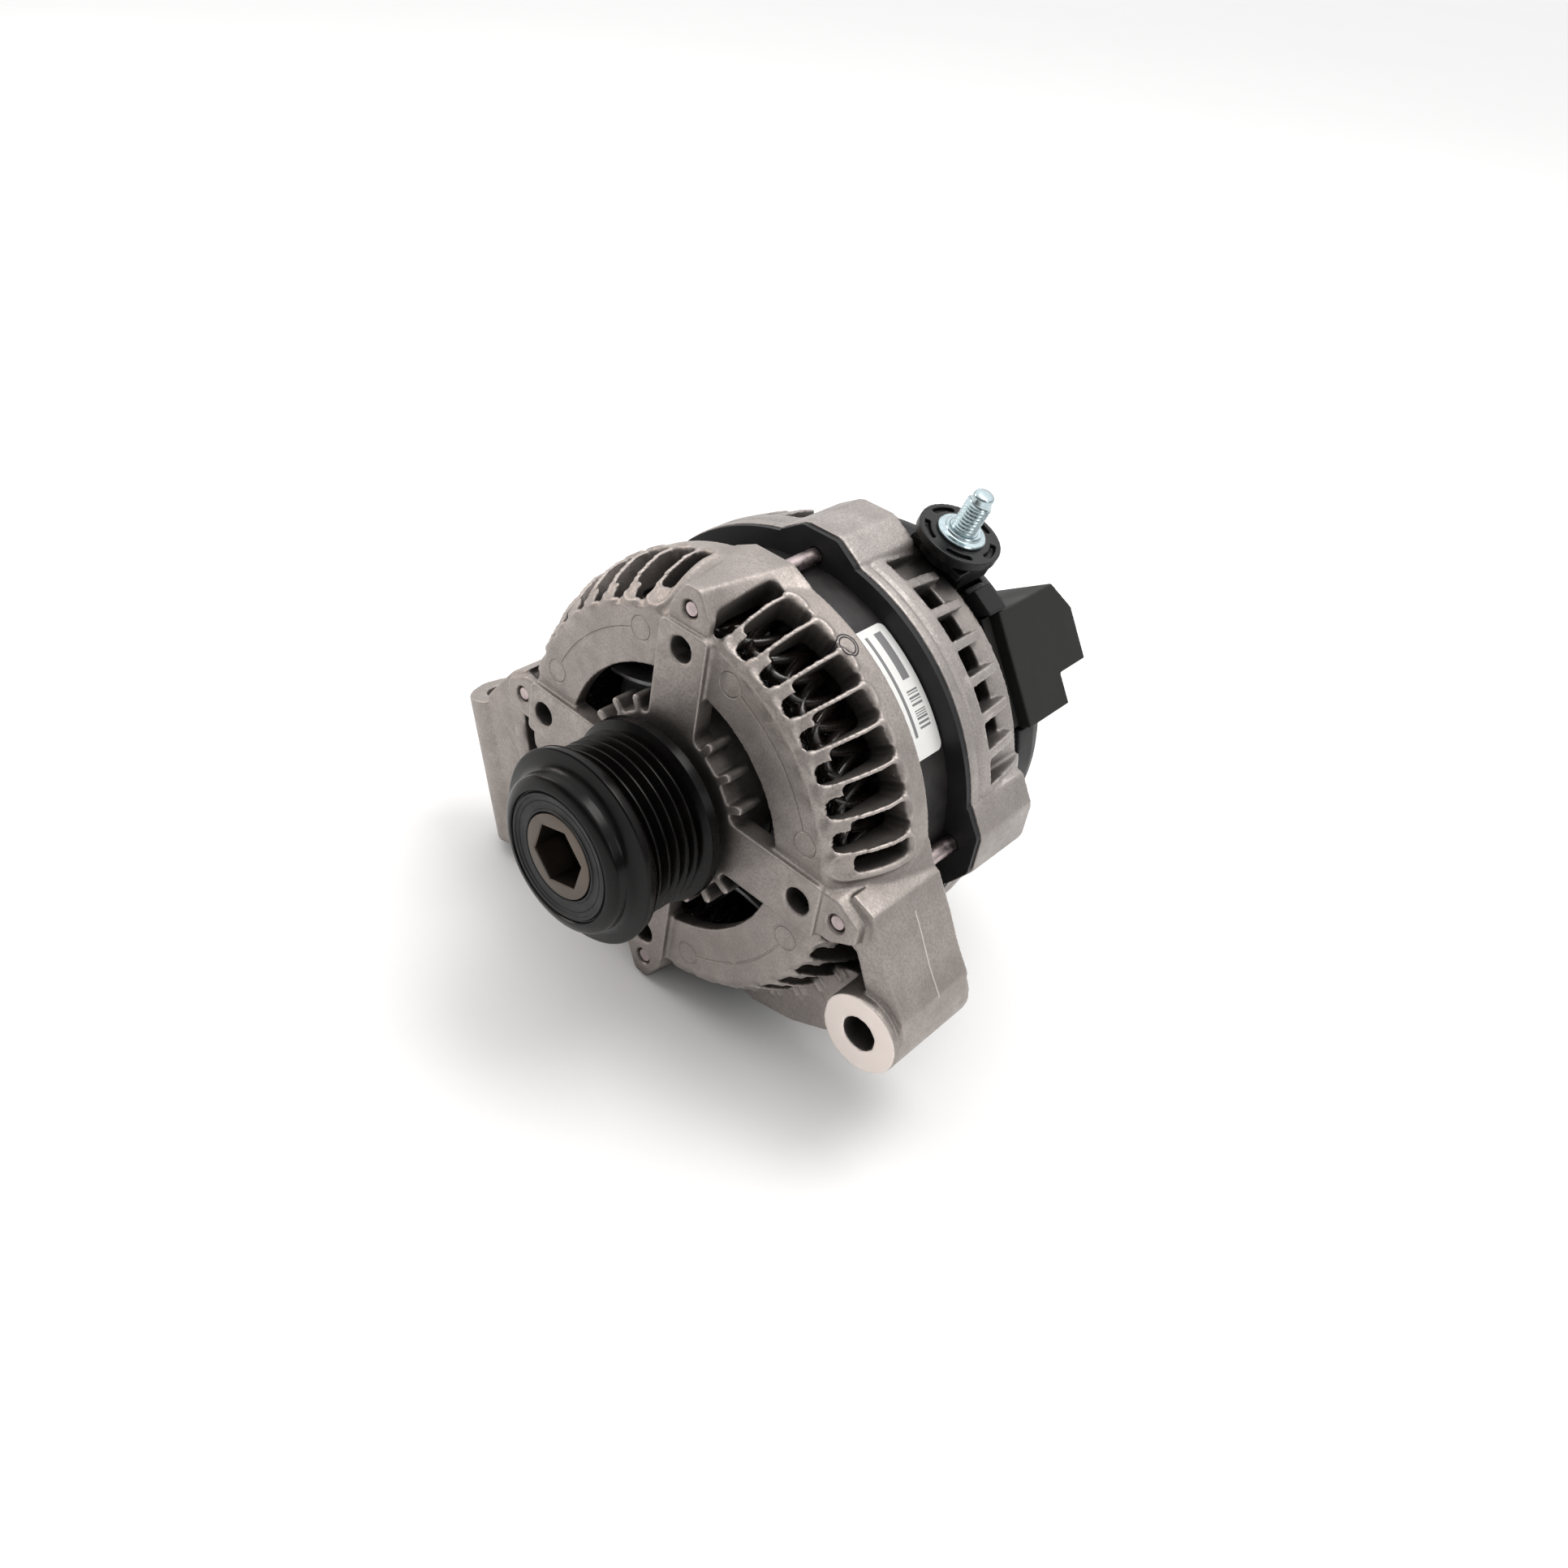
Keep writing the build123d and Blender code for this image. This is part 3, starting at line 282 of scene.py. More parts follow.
def plain_metal(name, tint, rough, scale, spread=0.25, bump=0.00002):
    """Plated or pressed metal with small variations of tone and gloss."""
    g = Graph(name)
    tone = g.noise(scale, 3.0, 0.6)
    base = g.mix(g.remap(tone, 0.3, 0.7), scaled(tint, 1 - spread), tint)
    level = g.remap(g.noise(scale * 2.3, 2.0, 0.5), 0.3, 0.7, rough - 0.08, rough + 0.1)
    return g.finish(base, level, 1.0, g.bump(g.noise(scale * 5, 2.0, 0.5), bump, 0.6))


def black_coat(name):
    """Gloss black electro-coat over turned steel, with a little dust."""
    g = Graph(name)
    radius, along, _ = g.polar()
    rings = g.noise(2200, 2.0, 0.5, g.join(radius, along, 0.0))
    dust = g.remap(g.noise(90, 4.0, 0.65), 0.45, 0.8, 0.0, 0.35)
    base = g.mix(dust, (0.0026, 0.0021, 0.002), (0.0066, 0.0056, 0.0052))
    level = g.remap(g.noise(150, 3.0, 0.6), 0.3, 0.7, 0.2, 0.3)
    return g.finish(base, level, 0.0, g.bump(rings, 0.000002, 0.5), Specular_IOR_Level=0.17)


def moulded_plastic(name, tint, rough=0.55, scale=1500, depth=0.00003):
    """Matt moulded plastic with a fine spark-eroded texture and light scuffs."""
    g = Graph(name)
    grain = g.noise(scale, 3.0, 0.6)
    tone = g.noise(40, 3.0, 0.6)
    scuff = g.remap(g.noise(160, 5.0, 0.7), 0.58, 0.78, 0.0, 0.45)
    base = g.mix(g.remap(tone, 0.3, 0.7), scaled(tint, 0.8), tint)
    base = g.mix(scuff, base, tuple(c * 1.7 + 0.004 for c in tint))
    # Lighter on convex edges.
    base = g.mix(g.product(convex_edges(g, 0.52, 0.6), 0.5), base, scaled(tint, 2.2))
    level = g.remap(tone, 0.3, 0.7, rough - 0.08, rough + 0.08)
    return g.finish(base, level, 0.0, g.bump(grain, depth, 0.6), Specular_IOR_Level=0.3)


def rubber(name, tint):
    """Seal lip rubber with fine moulded rings."""
    g = Graph(name)
    radius, _, _ = g.polar()
    rings = g.noise(2500, 1.0, 0.5, g.join(radius, 0.0, 0.0))
    bloom = g.noise(120, 4.0, 0.65)
    base = g.mix(g.remap(bloom, 0.35, 0.75), tint, scaled(tint, 1.45))
    level = g.remap(bloom, 0.3, 0.7, 0.42, 0.6)
    return g.finish(base, level, 0.0, g.bump(rings, 0.00003, 0.7), Specular_IOR_Level=0.28)


SHEET_THICKNESS = 0.0005


def laminations(name):
    """Black-coated sheet stack: fine rings along the axis every half millimetre."""
    g = Graph(name)
    _, y, _ = g.split(g.coords())
    phase = g.math("FRACT", g.math("DIVIDE", y, SHEET_THICKNESS))
    sheet = g.remap(g.distance(phase, 0.5), 0.36, 0.5, 1.0, 0.0)
    stack = g.noise(1800, 1.0, 0.5, g.join(0.0, y, 0.0))
    height = g.math("ADD", g.product(sheet, 0.5), g.product(stack, 0.5))
    tone = g.noise(70, 4.0, 0.65)
    base = g.mix(g.remap(tone, 0.3, 0.75), (0.012, 0.011, 0.012), (0.028, 0.025, 0.024))
    level = g.remap(g.noise(200, 3.0, 0.6), 0.3, 0.7, 0.38, 0.6)
    return g.finish(base, level, 0.15, g.bump(height, 0.00004, 0.6))


def varnish(name, tint, rough=0.18, lumps=400):
    """Thick dark varnish over copper: glossy, with runs and lumps."""
    g = Graph(name)
    lump = g.noise(lumps, 3.0, 0.6)
    tone = g.noise(90, 3.0, 0.6)
    base = g.mix(g.remap(tone, 0.35, 0.75), scaled(tint, 0.4), tint)
    level = g.remap(lump, 0.3, 0.7, rough, rough + 0.15)
    return g.finish(base, level, 0.3, g.bump(lump, 0.00015, 0.6),
                    Coat_Weight=0.5, Coat_Roughness=0.12)


# Plain bars on the label, as shares of its height and of its width.
LABEL_BARS = ((0.14, 0.22, 0.06, 0.5), (0.36, 0.44, 0.06, 0.84), (0.62, 0.82, 0.06, 0.44))


def label_film(name):
    """White film with plain grey bars and a block of stripes, nothing that can be read."""
    g = Graph(name)
    _, y, angle = g.polar()
    first, last = LABEL_Y
    start_angle, end_angle = LABEL_ANGLES
    across = g.math("DIVIDE", g.math("SUBTRACT", y, first * MM), (last - first) * MM)
    from_left = g.math("SUBTRACT", math.radians(end_angle), angle)
    along = g.math("DIVIDE", from_left, math.radians(end_angle - start_angle))

    def band(value, low, high):
        above = g.math("GREATER_THAN", value, low)
        return g.product(above, g.math("LESS_THAN", value, high))

    ink = None
    for low, high, start, end in LABEL_BARS:
        bar = g.product(band(across, low, high), band(along, start, end))
        ink = bar if ink is None else g.math("MAXIMUM", ink, bar)
    column = g.math("GREATER_THAN", g.noise(60, 0.0, 0.5, g.join(along, 0.0, 0.0)), 0.5)
    block = g.product(band(across, 0.56, 0.86), band(along, 0.52, 0.86))
    ink = g.math("MAXIMUM", ink, g.product(block, column))
    paper = g.mix(g.noise(300, 3.0, 0.6), (0.74, 0.74, 0.72), (0.82, 0.82, 0.8))
    base = g.mix(g.product(ink, 0.85), paper, (0.09, 0.09, 0.1))
    return g.finish(base, g.remap(g.noise(500), 0.3, 0.7, 0.35, 0.5), 0.0,
                    g.bump(g.noise(900, 2.0), 0.00001, 0.5))


def copper(name, tint, rough=0.35):
    """Bare copper with duller, rougher patches."""
    g = Graph(name)
    tone = g.noise(130, 4.0, 0.65)
    base = g.mix(g.remap(tone, 0.3, 0.75), scaled(tint, 0.55), tint)
    return g.finish(base, g.remap(tone, 0.3, 0.7, rough, rough + 0.2), 1.0,
                    g.bump(g.noise(900, 2.0), 0.00002, 0.5))


MATS = {
    "cast": cast_aluminium("cast_aluminium", (0.41, 0.367, 0.343), face_marks_and_shade=True),
    "cast_rear": cast_aluminium("cast_aluminium_rear", (0.42, 0.385, 0.368)),
    "core": laminations("core_black"),
    "winding": varnish("coil_varnish", (0.028, 0.02, 0.017)),
    "field": varnish("field_coil_varnish", (0.22, 0.1, 0.05), 0.3, 900),
    "copper": copper("bare_copper", (0.72, 0.42, 0.28)),
    "ring_copper": copper("slip_ring_copper", (0.74, 0.45, 0.3), 0.25),
    "plastic": moulded_plastic("black_plastic", (0.006, 0.0057, 0.0058)),
    "plastic_grey": moulded_plastic("connector_plastic", (0.0125, 0.012, 0.0115), 0.6, 1100,
                                    0.00004),
    "insulator": moulded_plastic("terminal_plastic", (0.008, 0.0078, 0.008), 0.4, 900),
    "cage": moulded_plastic("cage_plastic", (0.35, 0.3, 0.2), 0.5),
    "ring": rubber("seal_ring_black", (0.014, 0.014, 0.015)),
    "seal": rubber("seal_rubber", (0.009, 0.0088, 0.0094)),
    "pulley": black_coat("pulley_black"),
    "hub": turned_steel("oiled_hub", (0.125, 0.104, 0.088), 0.38, 0.0003),
    "steel": turned_steel("bearing_steel", (0.62, 0.62, 0.62), 0.25),
    "pole": turned_steel("pole_steel", (0.32, 0.31, 0.31), 0.42, 0.0006),
    "fan": plain_metal("pressed_steel", (0.34, 0.34, 0.35), 0.42, 120),
    "bolt": plain_metal("bolt_steel", (0.5, 0.42, 0.415), 0.34, 220),
    "zinc": plain_metal("zinc_plated", (0.5, 0.6, 0.63), 0.22, 260, 0.15, 0.000003),
    "sink": plain_metal("sink_aluminium", (0.7, 0.7, 0.71), 0.4, 150),
    "diode": plain_metal("diode_metal", (0.62, 0.6, 0.52), 0.35, 200),
    "carbon": moulded_plastic("brush_carbon", (0.04, 0.04, 0.042), 0.5, 2500),
    "label": label_film("label_white"),
    "ink": moulded_plastic("stamp_ink", (0.02, 0.018, 0.022), 0.5),
    "seam": cast_aluminium("cast_seam", (0.62, 0.57, 0.545)),
}


# ---------------------------------------------------------------- mesh helpers

def new_object(name, mesh, material, body, replaces=(), smooth_angle=None):
    """A piece on a body, in place of the CAD nodes that it replaces. It is smooth all over, or
    keeps the edges that are sharper than smooth_angle in degrees."""
    obj = bpy.data.objects.new(name, mesh)
    bpy.context.scene.collection.objects.link(obj)
    mesh.materials.clear()
    mesh.materials.append(material)
    if smooth_angle is None:
        mesh.shade_smooth()
    else:
        shade_by_angle(mesh, smooth_angle)
    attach(obj, body)
    if replaces:
        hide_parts(*replaces)
    return obj


def shade_by_angle(mesh, degrees):
    """Smooth shading that keeps edges sharper than the angle."""
    mesh.shade_smooth()
    bm = bmesh.new()
    bm.from_mesh(mesh)
    limit = math.radians(degrees)
    for edge in bm.edges:
        if len(edge.link_faces) == 2:
            edge.smooth = edge.calc_face_angle(0) < limit
    bm.to_mesh(mesh)
    bm.free()


def softened(node, voxel, rounds, faces, shape=None):
    """A copy of a CAD node's mesh with all its edges rounded, as on a casting or moulding. The
    voxel is in millimetres, rounds is how often it is smoothed, faces is the most triangles it
    keeps, and shape is a function that changes the mesh before it is thinned out."""
    source = NODES[node]
    copy = bpy.data.objects.new("soften", source.data.copy())
    bpy.context.scene.collection.objects.link(copy)
    remesh = copy.modifiers.new("remesh", "REMESH")
    remesh.mode = "VOXEL"
    remesh.voxel_size = voxel * MM
    remesh.use_smooth_shade = True
    smooth = copy.modifiers.new("smooth", "SMOOTH")
    smooth.factor = 0.5
    smooth.iterations = rounds
    mesh = evaluated(copy)
    if shape:
        shape(mesh)
    copy.modifiers.clear()
    copy.data = mesh
    count = sum(len(p.vertices) - 2 for p in mesh.polygons)
    if count > faces:
        thin = copy.modifiers.new("thin", "DECIMATE")
        thin.ratio = faces / count
        mesh = evaluated(copy)
    bpy.data.objects.remove(copy)
    return mesh


def evaluated(obj):
    """The object's mesh with its modifiers applied."""
    bpy.context.view_layer.update()
    graph = bpy.context.evaluated_depsgraph_get()
    return bpy.data.meshes.new_from_object(obj.evaluated_get(graph))


def rounded(points, radius, steps=3):
    """A closed outline with every corner rounded, by the radius or as far as its sides allow."""
    out = []
    count = len(points)
    for i in range(count):
        here = Vector(points[i])
        before, after = Vector(points[i - 1]), Vector(points[(i + 1) % count])
        a, b = before - here, after - here
        if a.length < 1e-9 or b.length < 1e-9 or abs(a.normalized().cross(b.normalized())) < 0.05:
            out.append(tuple(here))
            continue
        half = a.angle(b) / 2
        reach = min(radius / math.tan(half), a.length * 0.45, b.length * 0.45)
        start, end = here + a.normalized() * reach, here + b.normalized() * reach
        for s in range(steps + 1):
            t = s / steps
            p = start * (1 - t) ** 2 + here * 2 * t * (1 - t) + end * t * t
            out.append(tuple(p))
    return out


def around(radius, y, angle):
    """A point in metres from a radius and a place along the shaft in millimetres."""
    return radius * math.cos(angle) * MM, y * MM, radius * math.sin(angle) * MM


def lathe(outline, segments):
    """Closed ring from an outline of (radius, y) in millimetres about the shaft axis."""
    count = len(outline)
    angles = np.arange(segments) * 2 * np.pi / segments
    verts = [around(r, y, a) for a in angles for r, y in outline]
    faces = []
    for s in range(segments):
        for i in range(count):
            j = (i + 1) % count
            t = (s + 1) % segments
            faces.append((s * count + i, s * count + j, t * count + j, t * count + i))
    mesh = bpy.data.meshes.new("lathe")
    mesh.from_pydata(verts, [], faces)
    return outward(mesh)


def outward(mesh):
    """Turns all the faces of a closed mesh outwards."""
    bm = bmesh.new()
    bm.from_mesh(mesh)
    bmesh.ops.recalc_face_normals(bm, faces=bm.faces)
    bm.to_mesh(mesh)
    bm.free()
    return mesh


def turn_matrix(angle):
    """Turns from +X towards +Z about the shaft axis."""
    return Matrix.Rotation(math.radians(-angle), 4, "Y")


def sweep(paths, half_width, half_height, sides=8):
    """Closed rounded bars along lists of points in millimetres, as one mesh. Each bar's height
    points away from the shaft axis."""
    verts, faces = [], []
    for path in paths:
        path = np.array(path, float)
        tangent = np.gradient(path, axis=0)
        tangent /= np.linalg.norm(tangent, axis=1)[:, None]
        out = path * np.array([1.0, 0.0, 1.0])
        out /= np.linalg.norm(out, axis=1)[:, None]
        side = np.cross(tangent, out)
        side /= np.linalg.norm(side, axis=1)[:, None]
        up = np.cross(side, tangent)
        base = len(verts)
        for p, a, b in zip(path, side, up):
            for k in range(sides):
                t = 2 * math.pi * k / sides
                rim = a * math.cos(t) * half_width + b * math.sin(t) * half_height
                verts.append((p + rim) * MM)
        for i in range(len(path) - 1):
            for k in range(sides):
                m = (k + 1) % sides
                row = base + i * sides
                faces.append((row + k, row + m, row + sides + m, row + sides + k))
        faces.append(tuple(base + k for k in range(sides)))
        faces.append(tuple(base + (len(path) - 1) * sides + k for k in reversed(range(sides))))
    mesh = bpy.data.meshes.new("sweep")
    mesh.from_pydata([tuple(v) for v in verts], [], faces)
    return outward(mesh)


# ---------------------------------------------------------------- castings

# Cooling slots in each quarter of the shoulder: the angle between them, how many they are, half
# their width and length, their rounded corners, and their middle along the shaft.
SLOT_PITCH = 8.9
SLOT_COUNT = 8
SLOT_HALF = (3.1, 11.2)
SLOT_CORNER = 2.6
SLOT_MIDDLE = 13.2
# The bead round each slot: its height, how far its crest is from the slot's edge, and its spread.
BEAD_RISE, BEAD_CREST, BEAD_SPREAD = 0.75, 0.85, 0.95


def mesh_arrays(mesh):
    """Points in millimetres and normals of a mesh's vertices."""
    count = len(mesh.vertices)
    points, normals = np.empty(count * 3), np.empty(count * 3)
    mesh.vertices.foreach_get("co", points)
    mesh.vertex_normals.foreach_get("vector", normals)
    return points.reshape(-1, 3) / MM, normals.reshape(-1, 3)


def slot_beads(mesh):
    """Raises a rounded bead round every cooling slot on the front housing's shoulder."""
    points, normals = mesh_arrays(mesh)
    x, y, z = points.T
    radius = np.hypot(x, z)
    angle = np.degrees(np.arctan2(z, x)) % 90 - 45
    reach = (SLOT_COUNT - 1) / 2
    index = np.clip(np.round(angle / SLOT_PITCH + reach), 0, SLOT_COUNT - 1) - reach
    across = np.abs(np.radians(angle - index * SLOT_PITCH) * radius)
    along = np.abs(y - SLOT_MIDDLE)
    dx, dy = across - SLOT_HALF[0] + SLOT_CORNER, along - SLOT_HALF[1] + SLOT_CORNER
    beyond = np.hypot(np.maximum(dx, 0), np.maximum(dy, 0))
    off = beyond + np.minimum(np.maximum(dx, dy), 0) - SLOT_CORNER
    radial_share = (normals[:, 0] * x + normals[:, 2] * z) / np.maximum(radius, 1)
    outward_share = radial_share - 0.5 * normals[:, 1]
    bead = BEAD_RISE * np.exp(-((off - BEAD_CREST) / BEAD_SPREAD) ** 2)
    rise = bead * np.clip(outward_share * 2.0, 0, 1)
    rise[(radius < 57.5) | (radius > 71.0) | (y > 27.0)] = 0
    points += normals * rise[:, None]
    mesh.vertices.foreach_set("co", (points * MM).ravel())
    mesh.update()


def moulding(node, key, voxel, rounds, faces, shape=None):
    """Replaces a CAD node of the housing with its softened copy."""
    mesh = softened(node, voxel, rounds, faces, shape)
    return new_object(node + "_skin", mesh, MATS[key], "housing", (node,))


front_skin = moulding("front_housing", "cast", 0.52, 5, 195_000, slot_beads)
moulding("rear_housing", "cast_rear", 0.5, 5, 195_000)
moulding("rear_cover", "plastic", 0.5, 4, 120_000)
moulding("connector_housing", "plastic_grey", 0.42, 4, 60_000)
moulding("b_plus_insulator", "insulator", 0.3, 4, 90_000)


# ---------------------------------------------------------------- pulley

CREST_R, GROOVE_R, GROOVE_PITCH, FIRST_GROOVE_Y, GROOVES = 26.4, 23.3, 3.56, -29.98, 6
FLANGE_R, REAR_FLANGE_R = 29.4, 28.5
GROOVE_SIDE_ANGLE, GROOVE_FLAT = 20, 0.35
HEX_TURN = -12.0


def belt_track():
    """Outline of the ribbed belt track, from the front flange to the rear flange. The last point
    closes the outline while its corners are rounded, and is then dropped."""
    half, foot = GROOVE_PITCH / 2 - GROOVE_FLAT, GROOVE_FLAT
    slope = math.tan(math.radians(GROOVE_SIDE_ANGLE))
    points = [(FLANGE_R, FIRST_GROOVE_Y - half - 3.0 * slope)]
    for k in range(GROOVES):
        y = FIRST_GROOVE_Y + GROOVE_PITCH * k
        points += [(CREST_R, y - half)] if k else []
        points += [(GROOVE_R, y - foot), (GROOVE_R, y + foot)]
        points += [(CREST_R, y + half)] if k < GROOVES - 1 else []
    last_groove_y = FIRST_GROOVE_Y + GROOVE_PITCH * (GROOVES - 1)
    points.append((REAR_FLANGE_R, last_groove_y + half + 2.1 * slope))
    return rounded(points + [(0, 0)], 0.2, 2)[:-3]


def pulley_outline():
    """Pulley ring: a stepped nose, the belt track, and a bore with a wide part for the clutch."""
    nose = [(19.65, -41.9), (19.9, -42.3), (20.7, -42.3), (22.7, -41.35), (23.35, -40.95),
            (23.6, -40.6), (23.7, -40.2), (23.7, -38.2), (23.85, -37.6), (24.2, -37.0),
            (24.9, -36.4), (26.2, -35.8), (28.6, -35.35), (29.1, -35.2), (29.35, -34.95),
            (FLANGE_R, -34.7)]
    rear = [(REAR_FLANGE_R, -7.3), (28.2, -6.7), (27.6, -6.5), (18.5, -6.5), (17.6, -8.5),
            (13.2, -8.5), (13.2, -15.5), (17.2, -15.5), (17.2, -34.5), (13.2, -34.5),
            (13.2, -40.4), (19.65, -40.4)]
    return nose + belt_track() + rear


def seal_outline():
    """Seal face with a thin lip at the hub, a shallow dish and a raised ring near the nose."""
    face = [(13.25, -41.5), (13.5, -41.75), (14.0, -41.75), (14.2, -41.45), (14.6, -41.4),
            (16.4, -41.55), (16.55, -41.4), (16.75, -41.4), (16.9, -41.6), (17.9, -41.75),
            (18.1, -42.05), (18.9, -42.1), (19.1, -41.6), (19.3, -41.4), (19.6, -41.5)]
    return face + [(19.6, -40.4), (13.25, -40.4)]


def hub_body():
    """Clutch hub: a tube with a hexagon socket in its front end."""
    sides, per_side = 6, 16
    rows = [("round", 8.05, -6.5), ("round", 12.9, -6.5), ("round", 12.9, -41.5),
            ("round", 12.75, -41.8), ("round", 12.5, -41.9), ("hex", 8.8, -41.9),
            ("hex", 8.5, -41.6), ("hex", 8.5, -32.0), ("round", 8.05, -32.0)]
    count, total = len(rows), sides * per_side
    side_angle = 2 * math.pi / sides
    points = []
    for i in range(total):
        turned = 2 * math.pi * i / total
        off = (turned + side_angle / 2) % side_angle - side_angle / 2
        a = turned + math.radians(HEX_TURN)
        for kind, r, y in rows:
            points.append(around(r / math.cos(off) if kind == "hex" else r, y, a))
    faces = []
    for s in range(total):
        here, there = s * count, (s + 1) % total * count
        for i in range(count):
            j = (i + 1) % count
            faces.append((here + i, here + j, there + j, there + i))
    mesh = bpy.data.meshes.new("hub")
    mesh.from_pydata(points, [], faces)
    return outward(mesh)


new_object("pulley_body", lathe(pulley_outline(), 256), MATS["pulley"], "pulley",
           ("pulley_ring",), 32)
new_object("pulley_seal_face", lathe(seal_outline(), 192), MATS["seal"], "pulley",
           ("pulley_seal",), 40)
new_object("pulley_hub_body", hub_body(), MATS["hub"], "rotor",
           ("pulley_hub",), 25)


# ---------------------------------------------------------------- supply terminal

THREAD_R, THREAD_PITCH, THREAD_DEPTH = 3.97, 1.25, 0.68
WASHER = [(4.45, 73.4), (7.2, 73.4), (7.6, 73.7), (7.6, 74.3), (7.3, 74.6), (6.1, 74.7),
          (5.75, 74.85), (5.6, 75.1), (5.6, 75.5), (5.3, 75.8), (4.7, 75.8), (4.45, 75.6)]


def at_terminal(mesh):
    """Moves a mesh made about the shaft axis so that its y runs outwards along the terminal."""
    place = turn_matrix(TERMINAL_ANGLE) @ Matrix.Translation((0, TERMINAL_Y * MM, 0))
    mesh.transform(place @ Matrix.Rotation(math.radians(-90), 4, "Z"))
    return mesh


def threaded_stud():
    """Stud with a rolled thread, a plain rounded tip, a plain shank and a flat head."""
    outline = [(5.8, 56.2), (5.8, 58.6), (4.4, 58.7), (4.4, 75.7)]
    outline += [(THREAD_R, 75.75 + 0.1 * i) for i in range(98)]
    outline += [(3.6, 85.7), (3.25, 86.1), (3.2, 86.5), (3.2, 88.0), (3.05, 88.6), (2.6, 89.0),
                (1.6, 89.18)]
    segments = 64
    mesh_points = []
    for s in range(segments):
        turn_share = s / segments
        for r, u in outline:
            if r == THREAD_R:
                phase = (u / THREAD_PITCH + turn_share) % 1.0
                fade = min(1.0, (u - 75.6) / 1.2, (85.9 - u) / 0.9)
                r -= THREAD_DEPTH * (abs(phase - 0.5) * 2) ** 1.3 * max(fade, 0.0)
            mesh_points.append(around(r, u, 2 * math.pi * turn_share))
    count = len(outline)
    faces = []
    for s in range(segments):
        here, there = s * count, (s + 1) % segments * count
        faces += [(here + i, here + i + 1, there + i + 1, there + i) for i in range(count - 1)]
    faces.append([s * count for s in range(segments)])
    faces.append([s * count + count - 1 for s in reversed(range(segments))])
    mesh = bpy.data.meshes.new("stud")
    mesh.from_pydata(mesh_points, [], faces)
    return at_terminal(outward(mesh))


new_object("supply_stud_thread", threaded_stud(), MATS["zinc"], "housing",
           ("b_plus_stud",), 50)
new_object("supply_washer", at_terminal(lathe(WASHER, 96)), MATS["zinc"], "housing",
           ("b_plus_collar",), 40)


# ---------------------------------------------------------------- label, stamp and seam

LABEL_R, LABEL_UNDER_R, LABEL_CORNER = 62.07, 61.84, 2.0
# The stamp: its angle, its place along the shaft, about how far out it is, and its rings' radii.
STAMP_ANGLE, STAMP_Y, STAMP_R = 61.5, 27.0, 68
STAMP_RINGS = (3.4, 2.6)
# The seam on the pivot lug: its place along the shaft, and its upper and lower end.
SEAM_Y, SEAM_TOP, SEAM_FOOT = 19.0, 2.0, -20.0


def label_patch():
    """Thin film bent round the core, with rounded corners."""
    low, high = LABEL_Y
    start, end = (math.radians(a) for a in LABEL_ANGLES)
    top, under, corner = LABEL_R, LABEL_UNDER_R, LABEL_CORNER
    columns = 80
    length = (end - start) * top
    points = []
    for i in range(columns + 1):
        along = length * (0.5 - 0.5 * math.cos(math.pi * i / columns))
        near = max(0.0, corner - min(along, length - along))
        cut = corner - math.sqrt(corner * corner - near * near)
        a = start + along / top
        for r, y in ((top, low + cut), (top, high - cut), (under, high - cut), (under, low + cut)):
            points.append(around(r, y, a))
    faces = [(4 * i + k, 4 * i + (k + 1) % 4, 4 * i + 4 + (k + 1) % 4, 4 * i + 4 + k)
             for i in range(columns) for k in range(4)]
    faces += [(0, 1, 2, 3), tuple(4 * columns + k for k in (3, 2, 1, 0))]
    mesh = bpy.data.meshes.new("label")
    mesh.from_pydata(points, [], faces)
    return outward(mesh)


def surface_finder(obj):
    """A function that looks from a point along a direction for the object's surface."""
    mesh = obj.data
    tree = BVHTree.FromPolygons([v.co.copy() for v in mesh.vertices],
                                [tuple(p.vertices) for p in mesh.polygons])

    def find(start, direction):
        hit = tree.ray_cast(Vector(start) * MM, Vector(direction))[0]
        return hit / MM if hit else None

    return find


def stamp_ring(find, radius):
    """Path of a plain ring on the housing's rim."""
    steps, outside = 48, 90
    path = []
    for k in range(steps + 1):
        t = 2 * math.pi * k / steps
        a = math.radians(STAMP_ANGLE) + radius * math.cos(t) / STAMP_R
        here = STAMP_Y + radius * math.sin(t)
        cos, sin = math.cos(a), math.sin(a)
        hit = find((outside * cos, here, outside * sin), (-cos, 0, -sin))
        path.append(tuple(hit) if hit else (STAMP_R * cos, here, STAMP_R * sin))
    return path


def seam_path(find):
    """Path of the mould's parting seam down the outside of the pivot lug."""
    steps, outside = 24, 120
    path = []
    for k in range(steps + 1):
        hit = find((outside, SEAM_Y, SEAM_TOP + (SEAM_FOOT - SEAM_TOP) * k / steps), (-1, 0, 0))
        if hit:
            path.append(tuple(hit))
    return path


new_object("label_film", label_patch(), MATS["label"], "housing", ("label",), 30)
front_surface = surface_finder(front_skin)
rings = [stamp_ring(front_surface, radius) for radius in STAMP_RINGS]
new_object("stamped_ring", sweep(rings, 0.24, 0.14, 6), MATS["ink"], "housing",
           (), 60)
seam = sweep([seam_path(front_surface)], 0.26, 0.2, 6)
new_object("parting_seam", seam, MATS["seam"], "housing", (), 60)


# ---------------------------------------------------------------- winding

CORE_SLOTS = 48
# Where the loops leave the core and where their crowns are, at its front and rear end.
LOOP_ENDS = ((28.2, 11.8), (58.8, 70.8))
LOOP_SPAN = 16.0


def hairpin(angle, span, radius, foot_y, tip_y, lean):
    """One loop of wire: a slanted leg out of the core, a rounded crown and a leg back."""
    steps = 17
    points = []
    for i in range(steps):
        t = i / (steps - 1)
        rise = 1 - abs(2 * t - 1) ** 2.6
        here = math.radians(angle + span * (t - 0.5))
        r = radius + lean * rise
        points.append((r * math.cos(here), foot_y + (tip_y - foot_y) * rise, r * math.sin(here)))
    return points


